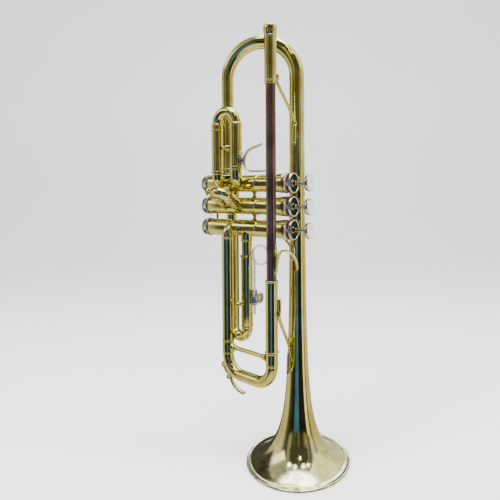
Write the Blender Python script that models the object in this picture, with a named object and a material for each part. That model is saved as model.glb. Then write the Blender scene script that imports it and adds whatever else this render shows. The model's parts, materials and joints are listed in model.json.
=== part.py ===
"""B-flat trumpet, three piston valves, standing on its bell rim.

Axes: +Z runs up the bell axis from the rim to the mouthpiece end, +X is the side
the finger buttons are on, +Y is the bell side of the valve block.
The origin is on the plane the rim rests on, at the centre of the whole footprint.
The pieces are drawn about the bell axis, in millimetres; the empty "trumpet" holds
them BELL_AXIS_X along +X, and meshes are scaled to metres at the end.
Where two parallel tubes are called "upper" and "lower", upper is the one nearer +X.
"""

import math

import bmesh
import bpy
from mathutils import Matrix, Vector

for old in list(bpy.data.objects):
    bpy.data.objects.remove(old, do_unlink=True)

MM = 0.001
GAP = 0.3  # clearance between two pieces that touch or slide
DOWN = Vector((0, 0, -1))
BELL_AXIS_X = 28.25  # from the origin to the bell axis

SEG_BELL, SEG_PISTON, SEG_VALVE, SEG_TUBE, SEG_ROD = 24, 18, 16, 12, 8

# ---- bell
BELL_RIM_R = 60.5
BELL_THROAT_R = 7.8
FLARE_LENGTH, FLARE_POWER = 32.85, 1.63  # inverse-power flare
BELL_WALL = 0.6
BELL_RIM_BEAD = 2.4
BELL_LIP_W = 2.3
BOW_Z = 447.0  # where the stem turns into the bow
BOW_END_R = 7.0
TAIL_X, TAIL_Y = -80.9, -22.8
TAIL_END_R, TAIL_END_Z = 6.4, 334.6

# ---- leadpipe line
LEAD_X, LEAD_Y = -7.0, -46.8
LEAD_R, LEAD_BORE_R = 5.5, 4.5
LEAD_TOP_Z = 462.2
RECEIVER_BOTTOM_Z, RECEIVER_TOP_Z = 429.5, 491.7
RECEIVER_MOUTH_R = 5.4
COLLAR_Z = 479.2
RECEIVER_R, COLLAR_R = 6.5, 7.3
LEAD_FERRULE_Z = 217.6
SLIDE_RING_Z = 139.7  # open ends of both outer tubes
OUTER_R, OUTER_BORE_R = 6.65, 6.25
INNER_R, INNER_BORE_R = 5.9, 5.45
RING_R = 7.7
LOWER_X, LOWER_Y = -74.0, -34.8
LOWER_RING_R = 7.4
LOWER_ELBOW_R, LOWER_BORE_R = 6.3, 5.5
CROWN_TOP_Z = 125.5
CROWN_BEND_R = 22.0
CROWN_R = 6.4

# ---- valves, first to third from the top down
VALVE_Y = -22.3
VALVE_PITCH = 26.0
VALVE_Z = tuple(324.3 - VALVE_PITCH * i for i in range(3))
CASING_BOTTOM_X, CASING_TOP_X = -111.5, 3.0
CASING_R, CASING_BORE_R = 9.7, 8.7
CASING_JOINT_X = -38.6

# ---- tubes shared by the first and third valve slides
SLEEVE_R, SLEEVE_BORE_R = 6.8, 6.3
PORT_R, PORT_BORE_R = 6.0, 5.5


# ---------------------------------------------------------------- materials
LOOKS = {
    "brass": dict(colour=(0.72, 0.50, 0.16), roughness=0.18, metallic=1.0),
    "rose_brass": dict(colour=(0.42, 0.22, 0.14), roughness=0.28, metallic=1.0),
    "nickel": dict(colour=(0.66, 0.64, 0.58), roughness=0.22, metallic=1.0),
    "steel": dict(colour=(0.5, 0.5, 0.5), roughness=0.3, metallic=1.0),
    "felt": dict(colour=(0.015, 0.015, 0.018), roughness=0.95, metallic=0.0),
    "pearl": dict(colour=(0.80, 0.82, 0.86), roughness=0.2, metallic=0.0),
    "cork": dict(colour=(0.35, 0.22, 0.12), roughness=0.9, metallic=0.0),
}


def material(name, colour, roughness, metallic):
    made = bpy.data.materials.new(name)
    made.use_nodes = True
    shader = made.node_tree.nodes["Principled BSDF"]
    shader.inputs["Base Color"].default_value = (*colour, 1)
    shader.inputs["Roughness"].default_value = roughness
    shader.inputs["Metallic"].default_value = metallic
    return made


# ---------------------------------------------------------------- shapes
# Each of these returns a bmesh in millimetres.
def closed(shape):
    bmesh.ops.recalc_face_normals(shape, faces=shape.faces)
    return shape


def ring(shape, centre, normal, binormal, normal_r, binormal_r, segs):
    """Adds an oval of vertices about centre."""
    return [
        shape.verts.new(
            centre
            + normal * (normal_r * math.cos(2 * math.pi * k / segs))
            + binormal * (binormal_r * math.sin(2 * math.pi * k / segs))
        )
        for k in range(segs)
    ]


def bridge(shape, near, far):
    """Joins two equal rings with quads."""
    segs = len(near)
    for k in range(segs):
        following = (k + 1) % segs
        shape.faces.new((near[k], near[following], far[following], far[k]))


def frames(points):
    """Parallel-transported (normal, binormal) pairs along a path."""
    last = len(points) - 1
    tangents = [
        (points[min(i + 1, last)] - points[max(i - 1, 0)]).normalized() for i in range(last + 1)
    ]
    start = Vector((0, 0, 1)) if abs(tangents[0].z) < 0.9 else Vector((1, 0, 0))
    normal = (start - tangents[0] * start.dot(tangents[0])).normalized()
    found = []
    for i, tangent in enumerate(tangents):
        if i:
            normal = tangents[i - 1].rotation_difference(tangent) @ normal
            normal = (normal - tangent * normal.dot(tangent)).normalized()
        found.append((normal, tangent.cross(normal)))
    return found


def sweep(path, outer, inner=None, segs=SEG_TUBE, squash=(1, 1)):
    """A tube (or a rod, without inner) along a path.

    outer and inner are one radius or one per point.
    squash: (normal scale, binormal scale) makes an oval or flat strip.
    """
    path = [Vector(point) for point in path]
    basis = frames(path)
    shape = bmesh.new()

    def skin(radii):
        if not isinstance(radii, (list, tuple)):
            radii = [radii] * len(path)
        rows = [
            ring(shape, point, normal, binormal, squash[0] * radius, squash[1] * radius, segs)
            for point, radius, (normal, binormal) in zip(path, radii, basis)
        ]
        for near, far in zip(rows, rows[1:]):
            bridge(shape, near, far)
        return rows

    outside = skin(outer)
    if inner is None:
        shape.faces.new(outside[0])
        shape.faces.new(outside[-1])
    else:
        bore = skin(inner)
        bridge(shape, outside[0], bore[0])
        bridge(shape, outside[-1], bore[-1])
    return closed(shape)


def rod(start, end, radius, segs=SEG_ROD):
    return sweep([start, end], radius, segs=segs)


def tube(stations):
    """A tube through (point, outer radius, bore radius) stations."""
    path, outer, bore = zip(*stations)
    return sweep(path, outer, bore)


def hairpin(near_leg, turn, outer, bore, far_leg):
    """A U of tube: two legs of stations, each listed towards the turn, and the turn's points."""
    return tube(near_leg + [(point, outer, bore) for point in turn] + far_leg[::-1])


def lathe(profile, origin=(0, 0, 0), axis="Z", segs=SEG_VALVE, loop=False):
    """Revolves (radius, height) points about "Z", "X" or a vector. loop closes the profile."""
    shape = bmesh.new()
    rows = []
    for radius, height in profile:
        if radius < 1e-6:
            row = [shape.verts.new((0, 0, height))]
        else:
            angles = [2 * math.pi * k / segs for k in range(segs)]
            row = [
                shape.verts.new((radius * math.cos(angle), radius * math.sin(angle), height))
                for angle in angles
            ]
        rows.append(row)
    pairs = list(zip(rows, rows[1:]))
    if loop:
        pairs.append((rows[-1], rows[0]))
    for near, far in pairs:
        if len(near) == len(far):
            bridge(shape, near, far)
            continue
        for k in range(segs):
            following = (k + 1) % segs
            if len(near) == 1:
                shape.faces.new((near[0], far[k], far[following]))
            else:
                shape.faces.new((near[k], near[following], far[0]))
    if axis == "X":
        turn = Matrix(((0, 0, 1), (0, 1, 0), (-1, 0, 0))).to_4x4()
    elif isinstance(axis, Vector):
        turn = Vector((0, 0, 1)).rotation_difference(axis.normalized()).to_matrix().to_4x4()
    else:
        turn = Matrix.Identity(4)
    shape.transform(Matrix.Translation(Vector(origin)) @ turn)
    return closed(shape)


def cylinder(radius, low, high, origin, axis="Z", segs=SEG_TUBE):
    """A solid cylinder between two heights along its axis."""
    return lathe([(0, low), (radius, low), (radius, high), (0, high)], origin, axis, segs)


def box(low, high):
    shape = bmesh.new()
    size = [b - a for a, b in zip(low, high)]
    middle = [(a + b) / 2 for a, b in zip(low, high)]
    place = Matrix.Translation(middle) @ Matrix.Diagonal((*size, 1))
    bmesh.ops.create_cube(shape, size=1, matrix=place)
    return closed(shape)


def slab(centre, axes, sizes):
    """A box with its own three unit axes."""
    shape = bmesh.new()
    bmesh.ops.create_cube(shape, size=1)
    columns = [axis.normalized() * size for axis, size in zip(axes, sizes)]
    turn = Matrix(columns).transposed().to_4x4()
    shape.transform(Matrix.Translation(centre) @ turn)
    return closed(shape)


def ball(centre, radius, columns, rows):
    shape = bmesh.new()
    bmesh.ops.create_uvsphere(
        shape, u_segments=columns, v_segments=rows, radius=radius,
        matrix=Matrix.Translation(centre),
    )
    return closed(shape)


# ---------------------------------------------------------------- points on paths
def at_z(place, z):
    return Vector((place.x, place.y, z))


def leg(place, rows):
    """Tube stations straight up or down at place, from (z, outer radius, bore radius) rows."""
    return [(at_z(place, z), outer, bore) for z, outer, bore in rows]


def bend(centre, start, side, degrees, radius, steps):
    """Points at centre + radius*(start cos t + side sin t), t from 0 to degrees."""
    start, side, centre = Vector(start), Vector(side), Vector(centre)
    angles = [math.radians(degrees) * i / steps for i in range(steps + 1)]
    return [centre + radius * (start * math.cos(t) + side * math.sin(t)) for t in angles]


def elbow(x, y, valve, radius, rise):
    """From inside a casing towards -Y, then a quarter turn up (rise 1) or down (rise -1)."""
    z = VALVE_Z[valve]
    centre = (x, y + radius, z + rise * radius)
    quarter = bend(centre, (0, 0, -rise), (0, -1, 0), 90, radius, 4)
    return [Vector((x, VALVE_Y - 1, z))] + quarter


# ---------------------------------------------------------------- booleans and objects
def unite(*tools):
    return [("UNION", tool) for tool in tools]


def subtract(*tools):
    return [("DIFFERENCE", tool) for tool in tools]


def as_object(shape, name):
    mesh = bpy.data.meshes.new(name)
    shape.to_mesh(mesh)
    shape.free()
    made = bpy.data.objects.new(name, mesh)
    bpy.context.scene.collection.objects.link(made)
    return made


def discard(made):
    mesh = made.data
    bpy.data.objects.remove(made, do_unlink=True)
    bpy.data.meshes.remove(mesh)


def evaluated_mesh(made):
    graph = bpy.context.evaluated_depsgraph_get()
    return bpy.data.meshes.new_from_object(made.evaluated_get(graph))


def combine(base, steps):
    """Applies (operation, bmesh) steps to base with exact booleans, in millimetres."""
    target = as_object(base, "tmp_base")
    for operation, tool in steps:
        cutter = as_object(tool, "tmp_tool")
        cutter.hide_render = True
        change = target.modifiers.new("cut", "BOOLEAN")
        change.operation = operation
        change.solver = "EXACT"
        change.object = cutter
        result = evaluated_mesh(target)
        if not result.polygons:
            # the exact solver loses a thin foot tangent to its tube: both meshes are closed
            bpy.data.meshes.remove(result)
            change.solver = "MANIFOLD"
            result = evaluated_mesh(target)
        target.modifiers.clear()
        previous, target.data = target.data, result
        bpy.data.meshes.remove(previous)
        discard(cutter)
    shape = bmesh.new()
    shape.from_mesh(target.data)
    discard(target)
    bmesh.ops.remove_doubles(shape, verts=shape.verts, dist=0.002)
    bmesh.ops.dissolve_degenerate(shape, edges=shape.edges, dist=0.001)
    return shape


def piece(name, shape, look, parent, origin=(0, 0, 0)):
    """Turns a millimetre shape into a named part in metres, with its own material."""
    origin = Vector(origin)
    shape.transform(Matrix.Translation(-origin))
    shape.transform(Matrix.Scale(MM, 4))
    made = as_object(shape, name)
    made.data.materials.append(material("mat_" + name, **LOOKS[look]))
    made.data.shade_smooth()
    made.data.set_sharp_from_angle(angle=math.radians(35))
    made["origin_mm"] = list(origin)
    made.parent = parent
    made.location = (origin - Vector(parent["origin_mm"])) * MM
    return made


def casing_clearance(valve):
    """A cutter slightly wider than a valve casing, and longer than its barrel above."""
    centre = (0, VALVE_Y, VALVE_Z[valve])
    return cylinder(CASING_R + GAP, -120, 10, centre, "X", SEG_VALVE)


def port(name, shape, valve, bell):
    """A fixed tube whose root is trimmed to clear a casing."""
    piece(name, combine(shape, subtract(casing_clearance(valve))), "brass", bell)


# ---------------------------------------------------------------- bell
def bell_radius(z):
    """Outer radius of the bell at height z: a throat tube plus an inverse-power flare."""
    flare = (BELL_RIM_R - BELL_THROAT_R) / (1 + z / FLARE_LENGTH) ** FLARE_POWER
    return BELL_THROAT_R + flare


def bell_stations():
    """(point, outer radius) from the flare up the stem, over the bow and down the tail."""
    z = BELL_RIM_BEAD * 1.1
    heights = [z]
    while z < 96:  # steps lengthen as the flare straightens
        z += 3.6 + 0.2 * z
        heights.append(z)
    heights += [150, 260, BOW_Z]
    stations = [(Vector((0, 0, z)), bell_radius(z)) for z in heights]
    tail = Vector((TAIL_X, TAIL_Y, 0))
    half = tail.length / 2
    out = tail.normalized()
    bow_start_r = bell_radius(BOW_Z)
    steps = 10
    for i in range(1, steps + 1):
        angle = math.pi * i / steps
        rise = Vector((0, 0, BOW_Z + half * math.sin(angle)))
        radius = bow_start_r + (BOW_END_R - bow_start_r) * i / steps
        stations.append((out * (half - half * math.cos(angle)) + rise, radius))
    for z, radius in ((390, 6.8), (TAIL_END_Z, TAIL_END_R)):
        stations.append((at_z(tail, z), radius))
    return stations


# rolled rim, outside to inside (radius, z): rounded outside, flat underside
RIM_PROFILE = (
    (BELL_RIM_R - 1.2, BELL_RIM_BEAD + 0.2),
    (BELL_RIM_R, BELL_RIM_BEAD * 0.62),
    (BELL_RIM_R - 0.15, 0.45),
    (BELL_RIM_R - 0.5, 0.0),
    (BELL_RIM_R - BELL_LIP_W, 0.0),
    (BELL_RIM_R - BELL_LIP_W - 0.9, 0.8),
)


def bell_shape():
    stations = bell_stations()
    basis = frames([point for point, _ in stations])
    shape = bmesh.new()

    def row(point, axes, radius):
        return ring(shape, point, *axes, radius, radius, SEG_BELL)

    outside, inside = [], []
    for (point, radius), axes in zip(stations, basis):
        outside.append(row(point, axes, radius))
        inside.append(row(point, axes, radius - BELL_WALL))
    rim = [row(Vector((0, 0, z)), basis[0], radius) for radius, z in RIM_PROFILE]
    chain = outside[::-1] + rim + inside
    for near, far in zip(chain, chain[1:] + chain[:1]):
        bridge(shape, near, far)
    return closed(shape)


def make_tail_ferrule(bell):
    profile = [(6.95, 335.0), (7.8, 335.0), (8.0, 336.5), (7.7, 341.5), (7.3, 342.4), (6.95, 342.4)]
    shape = lathe(profile, (TAIL_X, TAIL_Y, 0), segs=SEG_TUBE, loop=True)
    piece("bell_tail_ferrule", shape, "brass", bell)


# ---------------------------------------------------------------- leadpipe line
LEAD_LEG = Vector((LEAD_X, LEAD_Y, 0))
LOWER_LEG = Vector((LOWER_X, LOWER_Y, 0))

# (radius, z): the outside from the top down, then the bore back up
RECEIVER_PROFILE = [
    (RECEIVER_MOUTH_R + 0.5, RECEIVER_TOP_Z), (6.6, RECEIVER_TOP_Z), (7.1, RECEIVER_TOP_Z - 1.2),
    (7.4, 488.5), (COLLAR_R, 484.5), (7.0, 481.0),
    (RECEIVER_R, COLLAR_Z), (6.9, 478.9), (6.9, 477.9), (RECEIVER_R - 0.2, 477.6),
    (6.3, 431.5), (6.65, 431.3), (6.65, RECEIVER_BOTTOM_Z),
    (LEAD_R + GAP, RECEIVER_BOTTOM_Z), (LEAD_R + GAP, 462.5),
    (4.9, 463.0), (RECEIVER_MOUTH_R, RECEIVER_TOP_Z - 1.0),
]
# (radius, z): ferrule, tube and end ring from the top down, then the bore back up
LEAD_SLIDE_PROFILE = [
    (LEAD_R + GAP, LEAD_FERRULE_Z + 1.6), (6.6, LEAD_FERRULE_Z + 1.6),
    (7.1, LEAD_FERRULE_Z + 1.0), (7.1, LEAD_FERRULE_Z - 0.6),
    (OUTER_R, LEAD_FERRULE_Z - 1.2), (OUTER_R, SLIDE_RING_Z + 2.2),
    (RING_R, SLIDE_RING_Z + 1.7), (RING_R, SLIDE_RING_Z + 0.3),
    (7.3, SLIDE_RING_Z), (OUTER_BORE_R, SLIDE_RING_Z),
    (OUTER_BORE_R, LEAD_FERRULE_Z - 7), (LEAD_R + GAP, LEAD_FERRULE_Z - 6.6),
]
# (z, outer radius, bore radius) below the elbow
LOWER_TUBE_ROWS = [
    (262.6, LOWER_ELBOW_R, LOWER_BORE_R), (262.2, 7.1, LOWER_BORE_R), (260.2, 7.1, LOWER_BORE_R),
    (259.8, OUTER_R, OUTER_BORE_R), (SLIDE_RING_Z + 2.0, OUTER_R, OUTER_BORE_R),
    (SLIDE_RING_Z + 1.6, LOWER_RING_R, OUTER_BORE_R), (SLIDE_RING_Z, LOWER_RING_R, OUTER_BORE_R),
]


def make_receiver(bell):
    shape = lathe(RECEIVER_PROFILE, LEAD_LEG, segs=SEG_VALVE, loop=True)
    piece("mouthpiece_receiver", shape, "brass", bell)


def make_leadpipe(bell):
    rows = [
        (LEAD_FERRULE_Z - 6, LEAD_R, LEAD_BORE_R), (300, LEAD_R, LEAD_BORE_R),
        (LEAD_TOP_Z, 5.35, 4.4),
    ]
    piece("leadpipe", tube(leg(LEAD_LEG, rows)), "rose_brass", bell)


def make_leadpipe_slide_tube(bell):
    shape = lathe(LEAD_SLIDE_PROFILE, LEAD_LEG, segs=SEG_TUBE, loop=True)
    piece("leadpipe_slide_tube", shape, "brass", bell)


def make_lower_slide_tube(bell):
    """Up from the tuning slide, then an elbow into the third casing."""
    curve = elbow(LOWER_X, LOWER_Y, valve=2, radius=8.0, rise=-1)
    stations = [(point, LOWER_ELBOW_R, LOWER_BORE_R) for point in curve]
    port("lower_slide_tube", tube(stations + leg(LOWER_LEG, LOWER_TUBE_ROWS)), 2, bell)


# ---------------------------------------------------------------- tuning slide (moves down)
SLIDE_SHOULDER_R, CROWN_FERRULE_R = 6.65, 6.95
SLIDE_LEG_TOPS = 205.0, 228.0  # leadpipe leg, lower leg
SLIDE_BRACE_Z = 133.4
WATER_HOLE_R = 1.7

ACROSS = (LEAD_LEG - LOWER_LEG).normalized()  # from the lower leg to the leadpipe leg
LEAD_BEND = LEAD_LEG - ACROSS * CROWN_BEND_R + Vector((0, 0, CROWN_TOP_Z))
LOWER_BEND = LOWER_LEG + ACROSS * CROWN_BEND_R + Vector((0, 0, CROWN_TOP_Z))


def crown_dir(degrees):
    """Outward from the lower bend's centre, turned from straight down to the outer leg."""
    angle = math.radians(degrees)
    return DOWN * math.cos(angle) - ACROSS * math.sin(angle)


WATER_DIR = crown_dir(62)


def tuning_leg(top, place):
    """Inner tube that telescopes into an outer tube, with its shoulder below the ring."""
    rows = (
        (top, INNER_R), (SLIDE_RING_Z - 0.8, INNER_R),
        (SLIDE_RING_Z - 1.0, SLIDE_SHOULDER_R), (CROWN_TOP_Z + 1.6, SLIDE_SHOULDER_R),
        (CROWN_TOP_Z + 1.4, CROWN_FERRULE_R), (CROWN_TOP_Z + 0.2, CROWN_FERRULE_R),
    )
    return leg(place, [(z, outer, INNER_BORE_R) for z, outer in rows])


def make_tuning_slide(bell):
    curve = bend(LEAD_BEND, ACROSS, DOWN, 90, CROWN_BEND_R, 5)
    curve += bend(LOWER_BEND, DOWN, -ACROSS, 90, CROWN_BEND_R, 5)
    lead_top, lower_top = SLIDE_LEG_TOPS
    slide = hairpin(
        tuning_leg(lead_top, LEAD_LEG), curve, CROWN_R, INNER_BORE_R,
        tuning_leg(lower_top, LOWER_LEG),
    )
    # water hole on the outside of the lower bend
    hole_start = LOWER_BEND + WATER_DIR * CROWN_BEND_R
    hole = rod(hole_start, hole_start + WATER_DIR * 9, WATER_HOLE_R)
    origin = LEAD_LEG + Vector((0, 0, SLIDE_RING_Z))
    return piece("tuning_slide", combine(slide, subtract(hole)), "brass", bell, origin)


def make_tuning_brace(tuning):
    rise = Vector((0, 0, SLIDE_BRACE_Z))
    start = LOWER_LEG + ACROSS * (SLIDE_SHOULDER_R + GAP) + rise
    end = LEAD_LEG - ACROSS * (SLIDE_SHOULDER_R + GAP) + rise
    length = (end - start).length
    # (radius, distance from the nearer end), the same at both ends
    foot = [(0, 0), (4.6, 0), (4.6, 1.0), (3.0, 2.6), (2.6, 5.0), (2.2, 7.0)]
    profile = foot + [(radius, length - distance) for radius, distance in foot[::-1]]
    shape = lathe(profile, start, end - start, segs=12)
    piece("tuning_slide_brace", shape, "brass", tuning)


# ---------------------------------------------------------------- water key on the lower bend
AWAY = Vector((ACROSS.y, -ACROSS.x, 0)).normalized()  # square to the slide, on the -Y side
PIVOT_DIR = crown_dir(35)
CROWN_OUTSIDE = CROWN_BEND_R + CROWN_R
PIVOT = LOWER_BEND + PIVOT_DIR * (CROWN_OUTSIDE + 4.8)
PAD = LOWER_BEND + WATER_DIR * (CROWN_OUTSIDE + 3.4)

# lever arm from the pivot: (distance across, distance down, strip radius)
LEVER_ARM = (
    (0.0, 0.0, 1.9), (1.8, 3.6, 1.9), (5.6, 8.4, 2.1),
    (12.1, 12.0, 2.6), (18.7, 13.9, 2.7), (23.6, 14.3, 2.2),
)


def crown_clearance(first_degrees, count):
    """A cutter round the lower bend, in ten-degree steps."""
    path = [
        LOWER_BEND + CROWN_BEND_R * crown_dir(first_degrees + 10 * i) for i in range(count)
    ]
    return sweep(path, CROWN_R + GAP, segs=24)


def pivot_bar(half_length, radius, segs=10):
    return rod(PIVOT - AWAY * half_length, PIVOT + AWAY * half_length, radius, segs)


def pivot_hole():
    return pivot_bar(8, 1.1)


def make_water_saddle(tuning):
    base = LOWER_BEND + PIVOT_DIR * (CROWN_OUTSIDE + 0.2)
    axes = (PIVOT_DIR.cross(AWAY), AWAY, PIVOT_DIR)
    cheeks = [
        slab(base + AWAY * (side * 3.9) + PIVOT_DIR * 2.4, axes, (4.2, 1.3, 8.0))
        for side in (-1, 1)
    ]
    steps = unite(*cheeks) + subtract(crown_clearance(-20, 12), pivot_hole())
    shape = combine(slab(base, axes, (5.6, 9.1, 2.6)), steps)
    piece("water_key_saddle", shape, "brass", tuning)


def make_water_lever(tuning):
    barrel = pivot_bar(2.9, 2.1, segs=12)
    arm = sweep(
        [PIVOT + ACROSS * across + DOWN * down for across, down, _ in LEVER_ARM],
        [radius for _, _, radius in LEVER_ARM],
        segs=8, squash=(0.42, 1.15),
    )
    neck_end = WATER_DIR * (CROWN_OUTSIDE + 6.0) + LOWER_BEND
    neck_middle = (PIVOT + neck_end) / 2 + WATER_DIR * 1.6
    neck = sweep([PIVOT + WATER_DIR * 0.4, neck_middle, neck_end], [1.6, 1.4, 1.5], segs=8)
    cup_profile = [(0, -0.4), (3.5, -0.4), (3.9, 0.2), (3.9, 1.3), (0, 2.6)]
    cup = lathe(cup_profile, PAD + WATER_DIR * 0.75, WATER_DIR, segs=12)
    shape = combine(barrel, unite(arm, neck, cup) + subtract(pivot_hole()))
    return piece("water_key_lever", shape, "nickel", tuning, PIVOT)


def make_water_cork(lever):
    profile = [(0, -3.4), (3.1, -3.4), (3.3, -0.2), (3.3, 0.0), (0, 0.0)]
    cork = lathe(profile, PAD, WATER_DIR, segs=12)
    shape = combine(cork, subtract(crown_clearance(20, 8)))
    piece("water_key_cork", shape, "cork", lever)


def make_water_key(tuning):
    make_water_saddle(tuning)
    piece("water_key_pin", pivot_bar(5.4, 0.8), "steel", tuning)
    make_water_cork(make_water_lever(tuning))


# ---------------------------------------------------------------- places of the valve slides
FIRST_Y = -37.2
FIRST_X = (-85.4, -59.5)  # lower leg, upper leg
FIRST_SLEEVE_Z = (336.2, 341.4)
FIRST_PORT_TOP_Z = 388.0
FIRST_BEND_Z = 392.6

SECOND_X = (-79.6, -61.3)
SECOND_OFF = (-2.2, -4.5)  # of each leg from the valve axis, along SECOND_UP
SECOND_ANGLE = math.radians(30.0)  # rise of the second slide above horizontal
SECOND_DIR = Vector((0, -math.cos(SECOND_ANGLE), math.sin(SECOND_ANGLE)))
SECOND_UP = Vector((0, math.sin(SECOND_ANGLE), math.cos(SECOND_ANGLE)))
SECOND_BASES = [
    Vector((x, VALVE_Y, VALVE_Z[1])) + SECOND_UP * off for x, off in zip(SECOND_X, SECOND_OFF)
]

THIRD_LOWER = Vector((-78.4, -19.1, 0))
THIRD_UPPER = Vector((-52.8, -26.0, 0))
THIRD_SLEEVE_Z = 241.0
THIRD_BEND_Z = 156.5
THIRD_PORT_END_Z = 172.0


# ---------------------------------------------------------------- valve casings
# (radius, x): the outside from -X to +X, between two points of the bore
CASING_PROFILE = [
    (CASING_BORE_R, CASING_BOTTOM_X), (9.35, CASING_BOTTOM_X), (9.35, -106.2),
    (CASING_R, -106.0), (CASING_R, CASING_JOINT_X - 0.4),
    (CASING_R + 0.45, CASING_JOINT_X), (CASING_R, CASING_JOINT_X + 1.6),
    (CASING_R, -15.0), (11.1, -3.4), (11.1, -2.4), (10.4, -2.2),
    (10.4, CASING_TOP_X), (CASING_BORE_R, CASING_TOP_X),
]
# links from the second casing: (x, neighbouring valve, Z direction, outer radius, bore radius)
CASING_LINKS = (
    (-72.6, 0, 1, 5.8, 5.2), (-76.7, 2, -1, 6.0, 5.4), (-97.8, 2, -1, 1.5, None),
)


def wall_hole(valve, x, direction):
    """A cutter through one side of a casing wall."""
    direction = Vector(direction)
    start = Vector((x, VALVE_Y, VALVE_Z[valve]))
    return rod(start + direction * 5, start + direction * 13, 5.2, 10)


def first_casing_holes():
    sideways = [wall_hole(0, x, (0, -1, 0)) for x in FIRST_X]
    return sideways + [wall_hole(0, TAIL_X, (0, 0, 1))]


def second_casing_holes():
    return [
        rod(base + SECOND_DIR * 4, base + SECOND_DIR * 14, 4.6, 12) for base in SECOND_BASES
    ]


def third_casing_holes():
    holes = [wall_hole(2, LOWER_X, (0, -1, 0))]
    for place in (THIRD_LOWER, THIRD_UPPER):
        start = at_z(place, VALVE_Z[2] - 5)
        holes.append(rod(start, start + DOWN * 8, 4.9, 12))
    return holes


CASING_HOLES = (first_casing_holes, second_casing_holes, third_casing_holes)


def casing_links():
    links = []
    z = VALVE_Z[1]
    for x, neighbour, sign, outer, bore in CASING_LINKS:
        start = Vector((x, VALVE_Y, z + sign * 9.2))
        end = Vector((x, VALVE_Y, z + sign * (VALVE_PITCH - CASING_R)))
        link = sweep([start, end], outer, bore)
        links.append(combine(link, subtract(casing_clearance(neighbour))))
    return links


def make_casing(valve, bell):
    z = VALVE_Z[valve]
    body = lathe(CASING_PROFILE, (0, VALVE_Y, z), "X", SEG_VALVE, loop=True)
    links = casing_links() if valve == 1 else []
    shape = combine(body, unite(*links) + subtract(*CASING_HOLES[valve]()))
    name = f"valve_casing_{valve + 1}"
    return piece(name, shape, "brass", bell, (CASING_TOP_X, VALVE_Y, z))


def make_casing_brace(upper_valve, bell):
    """A waisted post between a casing and the next one below it."""
    lower_valve = upper_valve + 1
    low, high = VALVE_Z[lower_valve], VALVE_Z[upper_valve]
    # (radius, distance from the nearer valve axis)
    half = [(0, 8), (3.4, 8), (3.4, 10.9), (2.4, 11.9)]
    profile = [(radius, low + distance) for radius, distance in half]
    profile += [(radius, high - distance) for radius, distance in half[::-1]]
    post = lathe(profile, (-44.0, VALVE_Y, 0), segs=12)
    cuts = subtract(casing_clearance(lower_valve), casing_clearance(upper_valve))
    name = f"casing_brace_{upper_valve + 1}{lower_valve + 1}"
    piece(name, combine(post, cuts), "brass", bell)


# ---------------------------------------------------------------- valve caps and pistons
PISTON_R = 8.35
PISTON_BOTTOM_X, PISTON_TOP_X = -88.0, -12.0
SPRING_POCKET_R, SPRING_POCKET_X = 6.9, -62.0
TOP_CAP_R, BOTTOM_CAP_R = 11.7, 10.7
BUTTON_R, BUTTON_TOP_X = 9.3, 28.4
STEM_R = 2.1
PASSAGE_R = 5.0
SPRING_BOTTOM_X = -112.4
SPRING_TOP_X = SPRING_POCKET_X - 0.6
SPRING_R, SPRING_WIRE_R = 5.4, 0.5
SPRING_COILS, POINTS_PER_COIL = 6, 6

# all profiles are (radius, x)
TOP_CAP_PROFILE = [
    (10.7, -1.4), (TOP_CAP_R, -1.4), (TOP_CAP_R, 7.6), (11.2, 8.6), (9.9, 8.6),
    (9.4, 7.8), (9.4, 4.9), (2.6, 4.9), (2.6, 3.4), (10.7, 3.4),
]
FELT_PROFILE = [(2.6, 5.2), (9.0, 5.2), (9.0, 6.4), (2.6, 6.4)]
BOTTOM_CAP_PROFILE = [
    (9.75, -106.6), (BOTTOM_CAP_R, -106.8), (BOTTOM_CAP_R, -111.8), (9.4, -115.0),
    (5.0, -116.8), (1.6, -117.0), (1.6, -113.6), (9.75, -113.0),
]
# solid barrel with a spring pocket in its -X end
PISTON_PROFILE = [
    (0, PISTON_TOP_X), (7.6, PISTON_TOP_X), (PISTON_R, PISTON_TOP_X - 0.8),
    (PISTON_R, PISTON_BOTTOM_X + 0.5), (PISTON_R - 0.5, PISTON_BOTTOM_X),
    (SPRING_POCKET_R, PISTON_BOTTOM_X), (SPRING_POCKET_R, SPRING_POCKET_X), (0, SPRING_POCKET_X),
]
# stem foot, stem, and button with a shallow seat for the pearl
BUTTON_PROFILE = [
    (0, PISTON_TOP_X + GAP), (3.4, PISTON_TOP_X + GAP), (3.4, PISTON_TOP_X + 2.6),
    (STEM_R, PISTON_TOP_X + 2.8), (STEM_R, 23.2), (8.4, 24.0), (BUTTON_R, 25.0),
    (BUTTON_R, BUTTON_TOP_X - 0.9), (BUTTON_R - 0.7, BUTTON_TOP_X),
    (8.1, BUTTON_TOP_X), (7.9, BUTTON_TOP_X - 1.0), (0, BUTTON_TOP_X - 1.0),
]
PEARL_PROFILE = [
    (0, BUTTON_TOP_X - 0.7), (7.5, BUTTON_TOP_X - 0.7), (7.5, BUTTON_TOP_X + 0.3),
    (5.5, BUTTON_TOP_X + 0.9), (0, BUTTON_TOP_X + 1.3),
]
# on each casing: (name, profile, segments, look)
CASING_FITTINGS = (
    ("top_cap_", TOP_CAP_PROFILE, SEG_VALVE, "nickel"),
    ("top_cap_felt_", FELT_PROFILE, SEG_PISTON, "felt"),
    ("bottom_cap_", BOTTOM_CAP_PROFILE, SEG_VALVE, "nickel"),
)


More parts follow.
